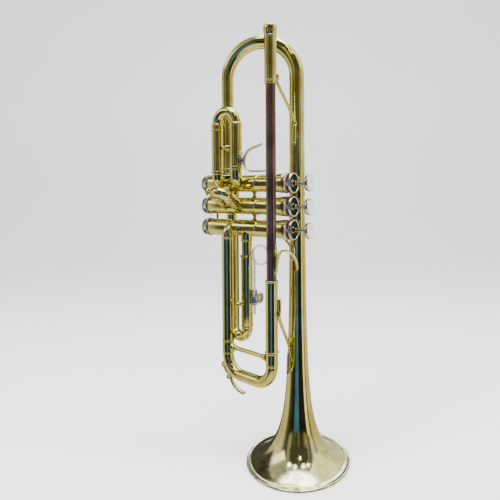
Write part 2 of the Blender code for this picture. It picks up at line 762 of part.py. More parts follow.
def make_piston(valve, casing):
    z = VALVE_Z[valve]
    barrel = lathe(PISTON_PROFILE, (0, VALVE_Y, z), "X", SEG_PISTON)
    passages = [
        rod((-52.5, VALVE_Y, z - 12), (-52.5, VALVE_Y, z + 12), PASSAGE_R),
        rod((-38.5, VALVE_Y - 12, z), (-38.5, VALVE_Y + 12, z), PASSAGE_R),
        rod((-24.5, VALVE_Y, z - 12), (-24.5, VALVE_Y, z + 12), PASSAGE_R),
    ]
    name = f"valve_piston_{valve + 1}"
    shape = combine(barrel, subtract(*passages))
    return piece(name, shape, "nickel", casing, (PISTON_TOP_X, VALVE_Y, z))


def make_spring(valve, casing):
    """Compression spring between the bottom cap and the piston's pocket."""
    z = VALVE_Z[valve]
    steps = SPRING_COILS * POINTS_PER_COIL
    helix = []
    for k in range(steps + 1):
        angle = 2 * math.pi * k / POINTS_PER_COIL
        helix.append((
            SPRING_BOTTOM_X + (SPRING_TOP_X - SPRING_BOTTOM_X) * k / steps,
            VALVE_Y + SPRING_R * math.cos(angle),
            z + SPRING_R * math.sin(angle),
        ))
    shape = sweep(helix, SPRING_WIRE_R, segs=4)
    origin = (SPRING_BOTTOM_X, VALVE_Y, z)
    piece(f"valve_spring_{valve + 1}", shape, "steel", casing, origin)


def make_valve(valve, bell):
    tag = str(valve + 1)
    axis_at = (0, VALVE_Y, VALVE_Z[valve])
    casing = make_casing(valve, bell)
    for name, profile, segs, look in CASING_FITTINGS:
        piece(name + tag, lathe(profile, axis_at, "X", segs, loop=True), look, casing)
    piston = make_piston(valve, casing)
    button = lathe(BUTTON_PROFILE, axis_at, "X", SEG_PISTON)
    piece("finger_button_" + tag, button, "nickel", piston)
    pearl = lathe(PEARL_PROFILE, axis_at, "X", SEG_PISTON)
    piece("button_pearl_" + tag, pearl, "pearl", piston)
    make_spring(valve, casing)


# ---------------------------------------------------------------- first valve slide (moves up)
FIRST_MID_X = (FIRST_X[0] + FIRST_X[1]) / 2
FIRST_ELBOW_R = 6.5
FIRST_CROWN_R, FIRST_CROWN_BORE_R = 5.9, 5.4
FIRST_BRACE_Z = 365.5

# centre line of the thumb saddle strip: (x, z)
SADDLE = [
    (-24.5, 367.0), (-26.5, 365.8), (-33.0, 365.0), (-39.5, 362.7), (-44.6, 358.8), (-47.6, 353.5),
    (-48.2, 348.0), (-46.6, 342.8), (-42.4, 339.2), (-36.5, 337.9), (-16.0, 337.9),
]


def make_first_ports(bell):
    for side, x, ring_z in zip(("lower", "upper"), FIRST_X, FIRST_SLEEVE_Z):
        curve = elbow(x, FIRST_Y, valve=0, radius=9.0, rise=1)
        stations = [(point, FIRST_ELBOW_R, PORT_BORE_R) for point in curve]
        stations += leg(Vector((x, FIRST_Y, 0)), [
            (ring_z - 0.9, FIRST_ELBOW_R, PORT_BORE_R),
            (ring_z - 0.6, PORT_R, PORT_BORE_R),
            (FIRST_PORT_TOP_Z, PORT_R, PORT_BORE_R),
        ])
        port("first_slide_port_" + side, tube(stations), 0, bell)


def first_leg(x, start_z):
    return leg(Vector((x, FIRST_Y, 0)), [
        (start_z, 7.3, SLEEVE_BORE_R),
        (start_z + 1.2, 7.3, SLEEVE_BORE_R),
        (start_z + 1.6, SLEEVE_R, SLEEVE_BORE_R),
        (FIRST_BEND_Z - 0.4, SLEEVE_R, SLEEVE_BORE_R),
        (FIRST_BEND_Z - 0.2, 7.2, FIRST_CROWN_BORE_R),
        (FIRST_BEND_Z + 1.2, 7.2, FIRST_CROWN_BORE_R),
    ])


def make_first_slide(bell):
    lower, upper = [first_leg(x, z) for x, z in zip(FIRST_X, FIRST_SLEEVE_Z)]
    centre = (FIRST_MID_X, FIRST_Y, FIRST_BEND_Z + 1.4)
    half = (FIRST_X[1] - FIRST_X[0]) / 2
    turn = bend(centre, (-1, 0, 0), (0, 0, 1), 180, half, 8)
    shape = hairpin(lower, turn, FIRST_CROWN_R, FIRST_CROWN_BORE_R, upper)
    origin = (FIRST_MID_X, FIRST_Y, FIRST_SLEEVE_Z[0])
    return piece("first_slide", shape, "brass", bell, origin)


def make_first_brace(slide):
    start = FIRST_X[0] + SLEEVE_R + GAP
    length = FIRST_X[1] - SLEEVE_R - GAP - start
    middle = length / 2
    profile = [
        (0, 0), (3.2, 0), (3.2, 0.9), (1.7, 2.0), (1.7, middle - 2.9), (3.2, middle - 1.8),
        (3.6, middle), (3.2, middle + 1.8), (1.7, middle + 2.9),
        (1.7, length - 2.0), (3.2, length - 0.9), (3.2, length), (0, length),
    ]
    shape = lathe(profile, (start, FIRST_Y, FIRST_BRACE_Z), "X", 12)
    piece("first_slide_brace", shape, "brass", slide)


def make_thumb_saddle(slide):
    """A U of strip open towards the buttons, on a foot curved round the upper sleeve."""
    upper_x = FIRST_X[1]
    sleeve_at = (upper_x, FIRST_Y, 0)
    strip = sweep([(x, FIRST_Y, z) for x, z in SADDLE], 2.6, segs=8, squash=(0.26, 1.0))
    foot = cylinder(SLEEVE_R + 1.5, 344.0, 361.0, sleeve_at)
    foot_keep = box((upper_x + 4.2, FIRST_Y - 4.2, 340), (upper_x + 12, FIRST_Y + 4.2, 365))
    post = box((upper_x + SLEEVE_R + 0.6, FIRST_Y - 1.6, 346.0), (-47.6, FIRST_Y + 1.6, 356.0))
    clearance = cylinder(SLEEVE_R + GAP, 330, 380, sleeve_at)
    steps = [("INTERSECT", foot_keep)] + unite(post, strip) + subtract(clearance)
    piece("thumb_saddle", combine(foot, steps), "nickel", slide)


# ------------------------------------------------- second valve slide (moves towards -Y and up)
SECOND_SLEEVE_LEN = 26.0
SECOND_INNER_R, SECOND_CROWN_R, SECOND_BORE_R = 5.25, 5.8, 4.8
KNOB_TURN = math.radians(17)  # the pull knob stands this far round the bend
SECOND_ACROSS = (SECOND_BASES[1] - SECOND_BASES[0]).normalized()
SECOND_HALF = (SECOND_BASES[1] - SECOND_BASES[0]).length / 2
SECOND_MID = (SECOND_BASES[0] + SECOND_BASES[1]) / 2
SECOND_BEND = SECOND_MID + SECOND_DIR * (SECOND_SLEEVE_LEN + 2.6)

# (distance along SECOND_DIR, outer radius)
SECOND_PORT_ROWS = (
    (3.0, 6.3), (SECOND_SLEEVE_LEN - 1.8, 6.3), (SECOND_SLEEVE_LEN - 1.4, 7.1),
    (SECOND_SLEEVE_LEN, 7.1),
)
SECOND_LEG_ROWS = (
    (11.5, SECOND_INNER_R), (SECOND_SLEEVE_LEN + GAP, SECOND_INNER_R),
    (SECOND_SLEEVE_LEN + GAP + 0.1, 6.6), (SECOND_SLEEVE_LEN + 2.4, 6.6),
    (SECOND_SLEEVE_LEN + 2.5, SECOND_CROWN_R),
)
KNOB_PROFILE = [  # (radius, distance out from the bend)
    (0, 0.35), (2.2, 0.35), (2.2, 0.9), (1.4, 1.6), (1.4, 2.6),
    (3.7, 3.3), (4.1, 4.0), (3.8, 4.7), (1.8, 5.2), (0, 5.3),
]


def second_leg(base, rows, bore):
    return [(base + SECOND_DIR * distance, outer, bore) for distance, outer in rows]


def make_second_ports(bell):
    for side, base in zip(("lower", "upper"), SECOND_BASES):
        shape = tube(second_leg(base, SECOND_PORT_ROWS, bore=5.6))
        port("second_slide_port_" + side, shape, 1, bell)


def make_second_slide(bell):
    lower, upper = [second_leg(base, SECOND_LEG_ROWS, SECOND_BORE_R) for base in SECOND_BASES]
    turn = bend(SECOND_BEND, -SECOND_ACROSS, SECOND_DIR, 180, SECOND_HALF, 8)
    shape = hairpin(lower, turn, SECOND_CROWN_R, SECOND_BORE_R, upper)
    origin = SECOND_MID + SECOND_DIR * SECOND_SLEEVE_LEN
    return piece("second_slide", shape, "brass", bell, origin)


def make_second_knob(slide):
    direction = -SECOND_ACROSS * math.cos(KNOB_TURN) + SECOND_DIR * math.sin(KNOB_TURN)
    base = SECOND_BEND + direction * (SECOND_HALF + SECOND_CROWN_R)
    piece("second_slide_knob", lathe(KNOB_PROFILE, base, direction, segs=12), "brass", slide)


# ---------------------------------------------------------------- third valve slide (moves down)
THIRD_CROWN_R, THIRD_CROWN_BORE_R = 6.3, 5.5
STOP_ROD = Vector((-58.2, -36.2, 0))
STOP_ROD_R, STOP_ROD_TOP_Z = 1.1, 268.0
STOP_NUT_Z, STOP_NUT_R = 149.8, 4.2
GUIDE_Z = 184.9

THIRD_PORT_ROWS = [  # (z, outer radius, bore radius)
    (VALVE_Z[2] - 5.0, 6.6, PORT_BORE_R), (257.6, 6.6, PORT_BORE_R),
    (257.2, PORT_R, PORT_BORE_R), (THIRD_PORT_END_Z, PORT_R, PORT_BORE_R),
]
THIRD_LEG_ROWS = [
    (THIRD_SLEEVE_Z, 7.3, SLEEVE_BORE_R), (THIRD_SLEEVE_Z - 1.2, 7.3, SLEEVE_BORE_R),
    (THIRD_SLEEVE_Z - 1.6, SLEEVE_R, SLEEVE_BORE_R), (THIRD_BEND_Z + 1.2, SLEEVE_R, SLEEVE_BORE_R),
    (THIRD_BEND_Z + 1.0, 7.1, THIRD_CROWN_BORE_R), (THIRD_BEND_Z + 0.2, 7.1, THIRD_CROWN_BORE_R),
]
GUIDE_PROFILE = [  # (radius, z from GUIDE_Z)
    (1.5, -2.6), (2.5, -2.6), (3.4, -1.4), (3.6, 0), (3.4, 1.4), (2.5, 2.6), (1.5, 2.6),
]


def make_third_ports(bell):
    for side, place in (("lower", THIRD_LOWER), ("upper", THIRD_UPPER)):
        port("third_slide_port_" + side, tube(leg(place, THIRD_PORT_ROWS)), 2, bell)


def make_third_slide(bell):
    span = THIRD_UPPER - THIRD_LOWER
    middle = (THIRD_UPPER + THIRD_LOWER) / 2
    centre = at_z(middle, THIRD_BEND_Z)
    turn = bend(centre, -span.normalized(), DOWN, 180, span.length / 2, 8)
    lower, upper = [leg(place, THIRD_LEG_ROWS) for place in (THIRD_LOWER, THIRD_UPPER)]
    shape = hairpin(lower, turn, THIRD_CROWN_R, THIRD_CROWN_BORE_R, upper)
    return piece("third_slide", shape, "brass", bell, at_z(middle, THIRD_SLEEVE_Z))


def third_sleeve_clearance():
    return cylinder(SLEEVE_R + GAP, 150, 240, THIRD_UPPER)


def make_stop_rod(bell):
    """Fixed beside the third casing; the sliding guide meets the nut at full travel."""
    stop_rod = rod(at_z(STOP_ROD, STOP_ROD_TOP_Z), at_z(STOP_ROD, STOP_NUT_Z + 1.5), STOP_ROD_R)
    foot = box(
        (STOP_ROD.x - 1.8, STOP_ROD.y - 1.2, VALVE_Z[2] - 7.0),
        (STOP_ROD.x - 0.2, VALVE_Y - 8.0, VALVE_Z[2] + 2.0),
    )
    shape = combine(stop_rod, unite(foot) + subtract(casing_clearance(2)))
    piece("third_slide_stop_rod", shape, "brass", bell)


def make_stop_nut(bell):
    hole = rod(at_z(STOP_ROD, STOP_NUT_Z + 1.2), at_z(STOP_ROD, STOP_NUT_Z + 8), 1.4)
    nut = ball(at_z(STOP_ROD, STOP_NUT_Z), STOP_NUT_R, columns=10, rows=6)
    piece("third_slide_stop_nut", combine(nut, subtract(hole)), "brass", bell)


def make_stop_guide(slide):
    to_sleeve = (THIRD_UPPER - STOP_ROD).normalized()
    centre = at_z(STOP_ROD, GUIDE_Z)
    collar = lathe(GUIDE_PROFILE, centre, segs=14, loop=True)
    arm = rod(centre + to_sleeve * 2.4, at_z(THIRD_UPPER, GUIDE_Z) - to_sleeve * 4.0, 1.5)
    shape = combine(collar, unite(arm) + subtract(third_sleeve_clearance()))
    piece("third_slide_stop_guide", shape, "brass", slide)


# ---------------------------------------------------------------- adjustable finger ring
FINGER_RING = Vector((-33.6, -26.5, 242.5))
FINGER_RING_R = 11.6
HOOP_HALF_THICK, HOOP_HALF_WIDTH = 0.75, 2.0
HOOP_STEPS, HOOP_SEGS = 24, 6
RING_ROD_X, RING_ROD_BOTTOM_Z = -42.0, 173.0
RING_ROD = Vector((RING_ROD_X, FINGER_RING.y, 0))
SOCKET_BOTTOM_Z, SOCKET_TOP_Z = 184.0, 201.5
SCREW_Z = 193.0

SCREW_PROFILE = [  # (radius, x from the ring's rod)
    (0, 1.9), (1.15, 1.9), (1.15, 5.6), (2.2, 5.8), (5.8, 6.2), (6.5, 6.8),
    (6.5, 8.0), (5.9, 8.6), (4.6, 8.6), (4.2, 7.8), (0, 7.8),
]


def screw_line(start, end, radius):
    """A rod along the thumbscrew's axis, between two distances from the ring's rod."""
    y = FINGER_RING.y
    return rod((RING_ROD_X + start, y, SCREW_Z), (RING_ROD_X + end, y, SCREW_Z), radius, 10)


def make_ring_socket(slide):
    barrel = cylinder(3.4, SOCKET_BOTTOM_Z, SOCKET_TOP_Z, RING_ROD)
    web = box(
        (THIRD_UPPER.x + 5.0, FINGER_RING.y - 2.6, SOCKET_BOTTOM_Z + 0.5),
        (RING_ROD_X - 1.0, FINGER_RING.y + 2.6, SOCKET_TOP_Z - 0.5),
    )
    rod_hole = rod(at_z(RING_ROD, 180), at_z(RING_ROD, 210), 1.8, 12)
    cuts = subtract(third_sleeve_clearance(), rod_hole, screw_line(1.0, 8, 1.5))
    shape = combine(barrel, unite(web, screw_line(0, 5.2, 2.5)) + cuts)
    piece("finger_ring_socket", shape, "nickel", slide)


def make_thumbscrew(slide):
    shape = lathe(SCREW_PROFILE, (RING_ROD_X, FINGER_RING.y, SCREW_Z), "X", 16)
    origin = (RING_ROD_X + 6, FINGER_RING.y, SCREW_Z)
    piece("finger_ring_thumbscrew", shape, "nickel", slide, origin)


def hoop():
    """The flat-sectioned ring, standing in the XZ plane."""
    shape = bmesh.new()
    rows = []
    for k in range(HOOP_STEPS):
        around = 2 * math.pi * k / HOOP_STEPS
        row = []
        for j in range(HOOP_SEGS):
            section = 2 * math.pi * j / HOOP_SEGS
            radius = FINGER_RING_R - HOOP_HALF_THICK + HOOP_HALF_THICK * math.cos(section)
            row.append(shape.verts.new(FINGER_RING + Vector((
                radius * math.cos(around),
                HOOP_HALF_WIDTH * math.sin(section),
                radius * math.sin(around),
            ))))
        rows.append(row)
    for near, far in zip(rows, rows[1:] + rows[:1]):
        bridge(shape, near, far)
    return closed(shape)


def make_finger_ring(slide):
    offset = RING_ROD_X - FINGER_RING.x
    join_z = FINGER_RING.z - math.sqrt((FINGER_RING_R - 0.8) ** 2 - offset ** 2)
    bottom = at_z(RING_ROD, RING_ROD_BOTTOM_Z)
    stem = rod(bottom, at_z(RING_ROD, join_z + 0.3), 1.4)
    piece("finger_ring", combine(hoop(), unite(stem)), "nickel", slide, bottom)


# ---------------------------------------------------------------- braces and hook
def make_long_brace(name, lead_side, lead_tube_r, lead_z, bell_side, bell_z, rod_r, bell):
    """S brace: a foot along the leadpipe, a slanting rod, a foot along the bell stem.

    Each side is the direction from the tube to its foot, each z pair the foot's top and bottom.
    """
    lead_side, bell_side = Vector(lead_side).normalized(), Vector(bell_side).normalized()
    wide = rod_r * 1.25
    off = GAP + wide
    foot = LEAD_LEG + lead_side * (lead_tube_r + off)
    top, bottom = lead_z
    line = [at_z(foot, z) for z in (top, top - 2.0, bottom + 1.5, bottom)]
    for k in range(4):
        z = bell_z[0] + (bell_z[1] - bell_z[0]) * k / 3
        line.append(bell_side * (bell_radius(z) + off) + Vector((0, 0, z)))
    radii = [wide * 0.8, wide, rod_r, rod_r, rod_r, rod_r, wide, wide * 0.8]
    piece(name, sweep(line, radii, segs=8), "brass", bell)


def make_bell_to_valve_brace(bell):
    """Small brace between the third casing and the bell stem."""
    radius = 1.5
    side = Vector((-0.2, -0.98, 0)).normalized()
    line = [
        side * (bell_radius(z) + GAP + radius + 0.1) + Vector((0, 0, z))
        for z in (238.0, 242.0, 250.0)
    ]
    casing_side = Vector((0, 0.55, -0.835)).normalized()
    casing_at = Vector((-9.0, VALVE_Y, VALVE_Z[2]))
    line.append(casing_at + casing_side * (CASING_R + GAP + radius + 0.5))
    radii = [radius * 0.8, radius, radius, radius * 0.9]
    piece("bell_to_valve_brace", sweep(line, radii, segs=8), "brass", bell)


HOOK = [  # strip from the leadpipe over towards +X: (x, z, half width)
    (-0.1, 226.0, 2.0), (0.4, 235.0, 2.8), (0.9, 243.5, 3.0), (3.2, 249.2, 3.0),
    (7.2, 252.3, 3.0), (12.2, 251.9, 3.0), (17.6, 249.0, 3.0), (21.6, 244.4, 2.9),
    (23.6, 239.0, 2.6), (24.0, 233.2, 2.1),
]
HOOK_PLATE_BOTTOM_Z, HOOK_PLATE_TOP_Z = 239.0, 257.5
HOOK_PLATE_W, HOOK_PLATE_THICK = 5.6, 1.1


def make_finger_hook(bell):
    """A hooked strip on a plate curved round the +X side of the leadpipe."""
    path = [(x, LEAD_Y, z) for x, z, _ in HOOK]
    strip = sweep(path, [half for _, _, half in HOOK], segs=8, squash=(0.3, 1.0))
    plate = cylinder(
        LEAD_R + GAP + HOOK_PLATE_THICK, HOOK_PLATE_BOTTOM_Z, HOOK_PLATE_TOP_Z, LEAD_LEG, segs=24
    )
    plate_keep = box(
        (LEAD_X + LEAD_R / 2, LEAD_Y - HOOK_PLATE_W / 2, HOOK_PLATE_BOTTOM_Z - 1),
        (LEAD_X + 14.25, LEAD_Y + HOOK_PLATE_W / 2, HOOK_PLATE_TOP_Z + 1),
    )
    plate = combine(plate, [("INTERSECT", plate_keep)])
    clearance = cylinder(LEAD_R + GAP, 215, 275, LEAD_LEG, segs=32)
    piece("finger_hook", combine(plate, unite(strip) + subtract(clearance)), "brass", bell)


# ---------------------------------------------------------------- assembly
trumpet = bpy.data.objects.new("trumpet", None)
bpy.context.scene.collection.objects.link(trumpet)
trumpet.location = (BELL_AXIS_X * MM, 0, 0)
trumpet["origin_mm"] = [0, 0, 0]

bell = piece("bell", bell_shape(), "brass", trumpet)
make_tail_ferrule(bell)

make_receiver(bell)
make_leadpipe(bell)
make_leadpipe_slide_tube(bell)
make_lower_slide_tube(bell)

tuning_slide = make_tuning_slide(bell)
make_tuning_brace(tuning_slide)
make_water_key(tuning_slide)

for valve in range(3):
    make_valve(valve, bell)
for valve in range(2):
    make_casing_brace(valve, bell)

make_first_ports(bell)
first_slide = make_first_slide(bell)
make_first_brace(first_slide)
make_thumb_saddle(first_slide)

make_second_ports(bell)
make_second_knob(make_second_slide(bell))

make_third_ports(bell)
third_slide = make_third_slide(bell)
make_stop_rod(bell)
make_stop_nut(bell)
make_stop_guide(third_slide)
make_ring_socket(third_slide)
make_thumbscrew(third_slide)
make_finger_ring(third_slide)

make_long_brace(
    "upper_brace", lead_side=(0.52, 0.854, 0), lead_tube_r=6.75, lead_z=(441.0, 431.5),
    bell_side=(0.2, -0.98, 0), bell_z=(396.0, 371.0), rod_r=1.8, bell=bell,
)
make_long_brace(
    "lower_brace", lead_side=(0.87, 0.5, 0), lead_tube_r=OUTER_R, lead_z=(199.0, 176.0),
    bell_side=(-0.38, -0.92, 0), bell_z=(138.0, 106.0), rod_r=1.9, bell=bell,
)
make_bell_to_valve_brace(bell)
make_finger_hook(bell)
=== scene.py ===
# A piston-valve trumpet standing bell down: the rim rests on z = 0 and the tubes run along +Z.
# The three valves lie along X, one above another, with their buttons at the +X end.
# The leadpipe and the slides are on the -Y side of the bell, and the camera looks from there.
# Lengths are millimetres from the bell axis; make() moves them BELL_AXIS along +X and scales
# them to metres. A name ending in _R is a radius.
import json
import math
import bmesh
import bpy
from mathutils import Matrix, Vector, noise

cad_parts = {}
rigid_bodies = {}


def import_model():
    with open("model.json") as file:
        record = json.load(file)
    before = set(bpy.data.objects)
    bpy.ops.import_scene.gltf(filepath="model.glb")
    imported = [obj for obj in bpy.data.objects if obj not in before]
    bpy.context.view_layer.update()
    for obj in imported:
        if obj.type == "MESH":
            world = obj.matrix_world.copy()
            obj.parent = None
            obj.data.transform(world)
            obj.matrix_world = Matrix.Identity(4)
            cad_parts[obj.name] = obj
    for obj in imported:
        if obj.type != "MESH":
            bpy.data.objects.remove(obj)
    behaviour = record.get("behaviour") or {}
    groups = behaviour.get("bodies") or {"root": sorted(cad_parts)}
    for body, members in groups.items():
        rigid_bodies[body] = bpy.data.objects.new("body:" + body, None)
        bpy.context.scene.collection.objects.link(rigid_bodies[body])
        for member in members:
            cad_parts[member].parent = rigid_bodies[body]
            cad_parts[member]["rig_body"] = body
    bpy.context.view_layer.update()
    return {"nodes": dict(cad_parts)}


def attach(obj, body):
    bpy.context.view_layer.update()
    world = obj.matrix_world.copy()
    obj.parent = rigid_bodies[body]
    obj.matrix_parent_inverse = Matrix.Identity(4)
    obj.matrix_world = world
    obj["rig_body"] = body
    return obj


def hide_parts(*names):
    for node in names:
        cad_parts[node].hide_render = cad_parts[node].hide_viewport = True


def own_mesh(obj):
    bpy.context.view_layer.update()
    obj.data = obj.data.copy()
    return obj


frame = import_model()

MM = 0.001
BELL_AXIS = 0.02825  # metres from the origin to the bell axis
TAU = 2 * math.pi
AXIS_X = Vector((1, 0, 0))
AXIS_Y = Vector((0, 1, 0))
UP = Vector((0, 0, 1))
DOWN = -UP

# ---- layout: a Vector with z = 0 is the axis of an upright tube -----------------
RIM_R = 60.5
THROAT_R = 7.8
FLARE_LENGTH = 32.85
FLARE_POWER = 1.63
BOW_Z = 447.0
TAIL = Vector((-80.9, -22.8, 0))
TAIL_END_Z = 334.6
LEAD = Vector((-7.0, -46.8, 0))
LOWER = Vector((-74.0, -34.8, 0))
CROWN_TOP_Z = 125.5
CROWN_BEND_R = 22.0
CROWN_R = 6.4
VALVE_Y = -22.3
VALVE_PITCH = 26.0
VALVE_Z = [324.3 - VALVE_PITCH * i for i in range(3)]
CASING_R = 9.7
FIRST_Y = -37.2
FIRST_X = (-85.4, -59.5)
FIRST_Z = (336.2, 341.4)
FIRST_BEND_Z = 392.6
SECOND_X = (-79.6, -61.3)
SECOND_OFFSET = (-2.2, -4.5)  # of each tube from the valve axis, along SECOND_UP
SECOND_LENGTH = 26.0
SECOND_TILT = math.radians(30.0)
SECOND_DIR = Vector((0, -math.cos(SECOND_TILT), math.sin(SECOND_TILT)))
SECOND_UP = Vector((0, math.sin(SECOND_TILT), math.cos(SECOND_TILT)))
KNOB_TURN = math.radians(17.0)
THIRD_LOWER = Vector((-78.4, -19.1, 0))
THIRD_UPPER = Vector((-52.8, -26.0, 0))
THIRD_SLEEVE_Z = 241.0
THIRD_BEND_Z = 156.5
STOP_ROD = Vector((-58.2, -36.2, 0))
STOP_ROD_TOP_Z = 268.4
STOP_NUT_Z = 149.8
GUIDE_Z = 184.9
RING = Vector((-33.6, -26.5, 242.5))
RING_R = 11.6
RING_ROD = Vector((-42.0, RING.y, 0))
RING_SCREW_Z = 193.0


# ---- mesh tools -----------------------------------------------------------------
def closed(mesh):
    bmesh.ops.recalc_face_normals(mesh, faces=mesh.faces)
    return mesh


def bridge(mesh, row_a, row_b, wrap=True):
    """Quads between two rows of vertices; wrap joins the rows' ends."""
    count = len(row_a)
    for k in range(count if wrap else count - 1):
        m = (k + 1) % count
        mesh.faces.new((row_a[k], row_a[m], row_b[m], row_b[k]))


def skin(mesh, rows, wrap=True):
    for row_a, row_b in zip(rows, rows[1:]):
        bridge(mesh, row_a, row_b, wrap)


def at(base, z):
    return Vector((base[0], base[1], z))


def perpendicular(vector, tangent):
    return (vector - tangent * vector.dot(tangent)).normalized()


def axes_along(points, fixed=None):
    """The section's two axes at each point, carried along without twist or held to fixed."""
    tangents = []
    for i in range(len(points)):
        before, after = points[max(i - 1, 0)], points[min(i + 1, len(points) - 1)]
        if (after - before).length < 1e-7:
            before, after = points[max(i - 2, 0)], points[min(i + 2, len(points) - 1)]
        tangents.append((after - before).normalized())
    normal = perpendicular(UP if abs(tangents[0].z) < 0.9 else AXIS_X, tangents[0])
    axes = []
    for i, tangent in enumerate(tangents):
        if fixed is not None:
            normal = perpendicular(fixed, tangent)
        elif i:
            normal = tangents[i - 1].rotation_difference(tangent) @ normal
            normal = perpendicular(normal, tangent)
        axes.append((normal, tangent.cross(normal)))
    return axes


def per(value, count):
    return list(value) if isinstance(value, (list, tuple)) else [value] * count


def circle(angle, power=1.0):
    """Cosine and sine; a power below 1 squares the circle's corners."""
    pair = math.cos(angle), math.sin(angle)
    return [math.copysign(abs(value) ** power, value) for value in pair]


def sweep(path, outer, inner=None, segs=48, squash=(1, 1), power=1.0, normal=None):
    """A tube or rod along a path. squash scales the section's two axes."""
    path = [Vector(point) for point in path]
    mesh = bmesh.new()
    axes = axes_along(path, normal)

    def rings(radii):
        rows = []
        for point, radius, (side_a, side_b) in zip(path, per(radii, len(path)), axes):
            row = []
            for k in range(segs):
                u, v = circle(TAU * k / segs, power)
                offset_a = side_a * (squash[0] * radius * u)
                row.append(mesh.verts.new(point + offset_a + side_b * (squash[1] * radius * v)))
            rows.append(row)
        return rows

    outside = rings(outer)
    skin(mesh, outside)
    if inner is None:
        mesh.faces.new(outside[0])
        mesh.faces.new(outside[-1])
    else:
        hole = rings(inner)
        skin(mesh, hole)
        bridge(mesh, outside[0], hole[0])
        bridge(mesh, outside[-1], hole[-1])
    return closed(mesh)


def tube(stations, segs=72):
    """A tube through (centre, outer radius, inner radius) stations."""
    return sweep(*map(list, zip(*stations)), segs)


def upright(base, rows, bore):
    """Stations of a vertical tube from (outer radius, height) rows."""
    return [(at(base, z), radius, bore) for radius, z in rows]


def u_bend(leg_a, leg_b, turn, radius, bore):
    """A tube out along leg_a, round the turn and back along leg_b."""
    return tube(leg_a + [(point, radius, bore) for point in turn] + leg_b[::-1])


def upright_rod(base, z0, z1, radius, segs=72):
    return sweep([at(base, z0), at(base, z1)], radius, segs=segs)


def lathe(profile, origin=(0, 0, 0), axis="Z", segs=72, loop=False, knurl=None):
    """Revolves (radius, height) points about "X", "Z" or a Vector; loop joins last to first.
    knurl=(low, high, ridges, depth) cuts ridges where low <= height <= high."""
    mesh = bmesh.new()
    rows = []
    for radius, height in profile:
        if radius < 1e-6:
            rows.append([mesh.verts.new((0, 0, height))])
            continue
        row = []
        for k in range(segs):
            angle, reach = TAU * k / segs, radius
            if knurl and knurl[0] - 1e-6 <= height <= knurl[1] + 1e-6:
                reach = radius - knurl[3] * (0.5 + 0.5 * math.cos(TAU * k * knurl[2] / segs))
            row.append(mesh.verts.new((reach * math.cos(angle), reach * math.sin(angle), height)))
        rows.append(row)
    if loop:
        rows.append(rows[0])
    for row_a, row_b in zip(rows, rows[1:]):
        if len(row_a) == len(row_b) == 1:
            continue
        if len(row_a) > 1 and len(row_b) > 1:
            bridge(mesh, row_a, row_b)
            continue
        for k in range(segs):
            m = (k + 1) % segs
            if len(row_a) == 1:
                mesh.faces.new((row_a[0], row_b[k], row_b[m]))
            else:
                mesh.faces.new((row_a[k], row_a[m], row_b[0]))
    turn = Matrix.Identity(4)
    if axis == "X":
        turn = Matrix(((0, 0, 1), (0, 1, 0), (-1, 0, 0))).to_4x4()
    elif isinstance(axis, Vector):
        turn = UP.rotation_difference(axis.normalized()).to_matrix().to_4x4()
    mesh.transform(Matrix.Translation(Vector(origin)) @ turn)
    return closed(mesh)


def arc(centre, start, side, degrees, radius, steps):
    """Points from the start direction round towards side."""
    centre, start, side = Vector(centre), Vector(start), Vector(side)
    points = []
    for i in range(steps + 1):
        angle = math.radians(degrees * i / steps)
        points.append(centre + radius * (start * math.cos(angle) + side * math.sin(angle)))
    return points


def smooth(points, per_span):
    """Catmull-Rom curve through the points."""
    points = [Vector(point) for point in points]
    last = len(points) - 1
    curve = []
    for i in range(last):
        p0, p1, p2, p3 = (points[min(max(i + j, 0), last)] for j in (-1, 0, 1, 2))
        for k in range(per_span):
            t = k / per_span
            curve.append(
                0.5
                * (
                    2 * p1
                    + (p2 - p0) * t
                    + (2 * p0 - 5 * p1 + 4 * p2 - p3) * t * t
                    + (3 * p1 - p0 - 3 * p2 + p3) * t**3
                )
            )
    curve.append(points[-1])
    return curve


def spread(values, count):
    """Values resampled to count, in straight steps between them."""
    resampled = []
    for i in range(count):
        place = i / (count - 1) * (len(values) - 1)
        k = min(int(place), len(values) - 2)
        resampled.append(values[k] + (values[k + 1] - values[k]) * (place - k))
    return resampled


def round_rod(path, radii, segs=24, squash=(1, 1), power=1.0, caps=(True, True), normal=None):
    """A solid rod; caps says which of its ends are domed."""
    path = [Vector(point) for point in path]
    radii = per(radii, len(path))

    def dome(end, behind, radius):
        out = (end - behind).normalized()
        depth = radius * min(squash) * 0.9
        angles = [math.radians(a) for a in (8, 25, 42, 60, 76)]
        return [(end + out * depth * math.cos(a), radius * math.sin(a)) for a in angles]

    head = dome(path[0], path[1], radii[0]) if caps[0] else []
    foot = dome(path[-1], path[-2], radii[-1]) if caps[1] else []
    path, radii = zip(*(head + list(zip(path, radii)) + foot[::-1]))
    return sweep(path, radii, None, segs, squash, power, normal)


def bead(z0, z1, low, high):
    """Profile points (radius, height) of a rounded ring that starts and ends at radius low."""
    points = []
    for i in range(9):
        angle = math.pi * i / 8
        radius = low + (high - low) * math.sin(angle) ** 0.55
        points.append((radius, z0 + (z1 - z0) * (0.5 - 0.5 * math.cos(angle))))
    return points


def band(z0, z1, low, high):
    """Profile points of a flat-topped ring with rounded corners."""
    edge = 0.35
    corner = []
    for degrees in (0, 30, 60, 90):
        angle = math.radians(degrees)
        corner.append((high - edge + edge * math.sin(angle), edge * math.cos(angle)))
    points = [(low, z0)] + [(radius, z0 + edge - rise) for radius, rise in corner]
    return points + [(radius, z1 - edge + rise) for radius, rise in corner[::-1]] + [(low, z1)]


def mirrored(profile, length, middle=()):
    """Half a profile, its middle points and the same half turned end for end."""
    back = [(radius, length - height) for radius, height in reversed(profile)]
    return profile + list(middle) + back


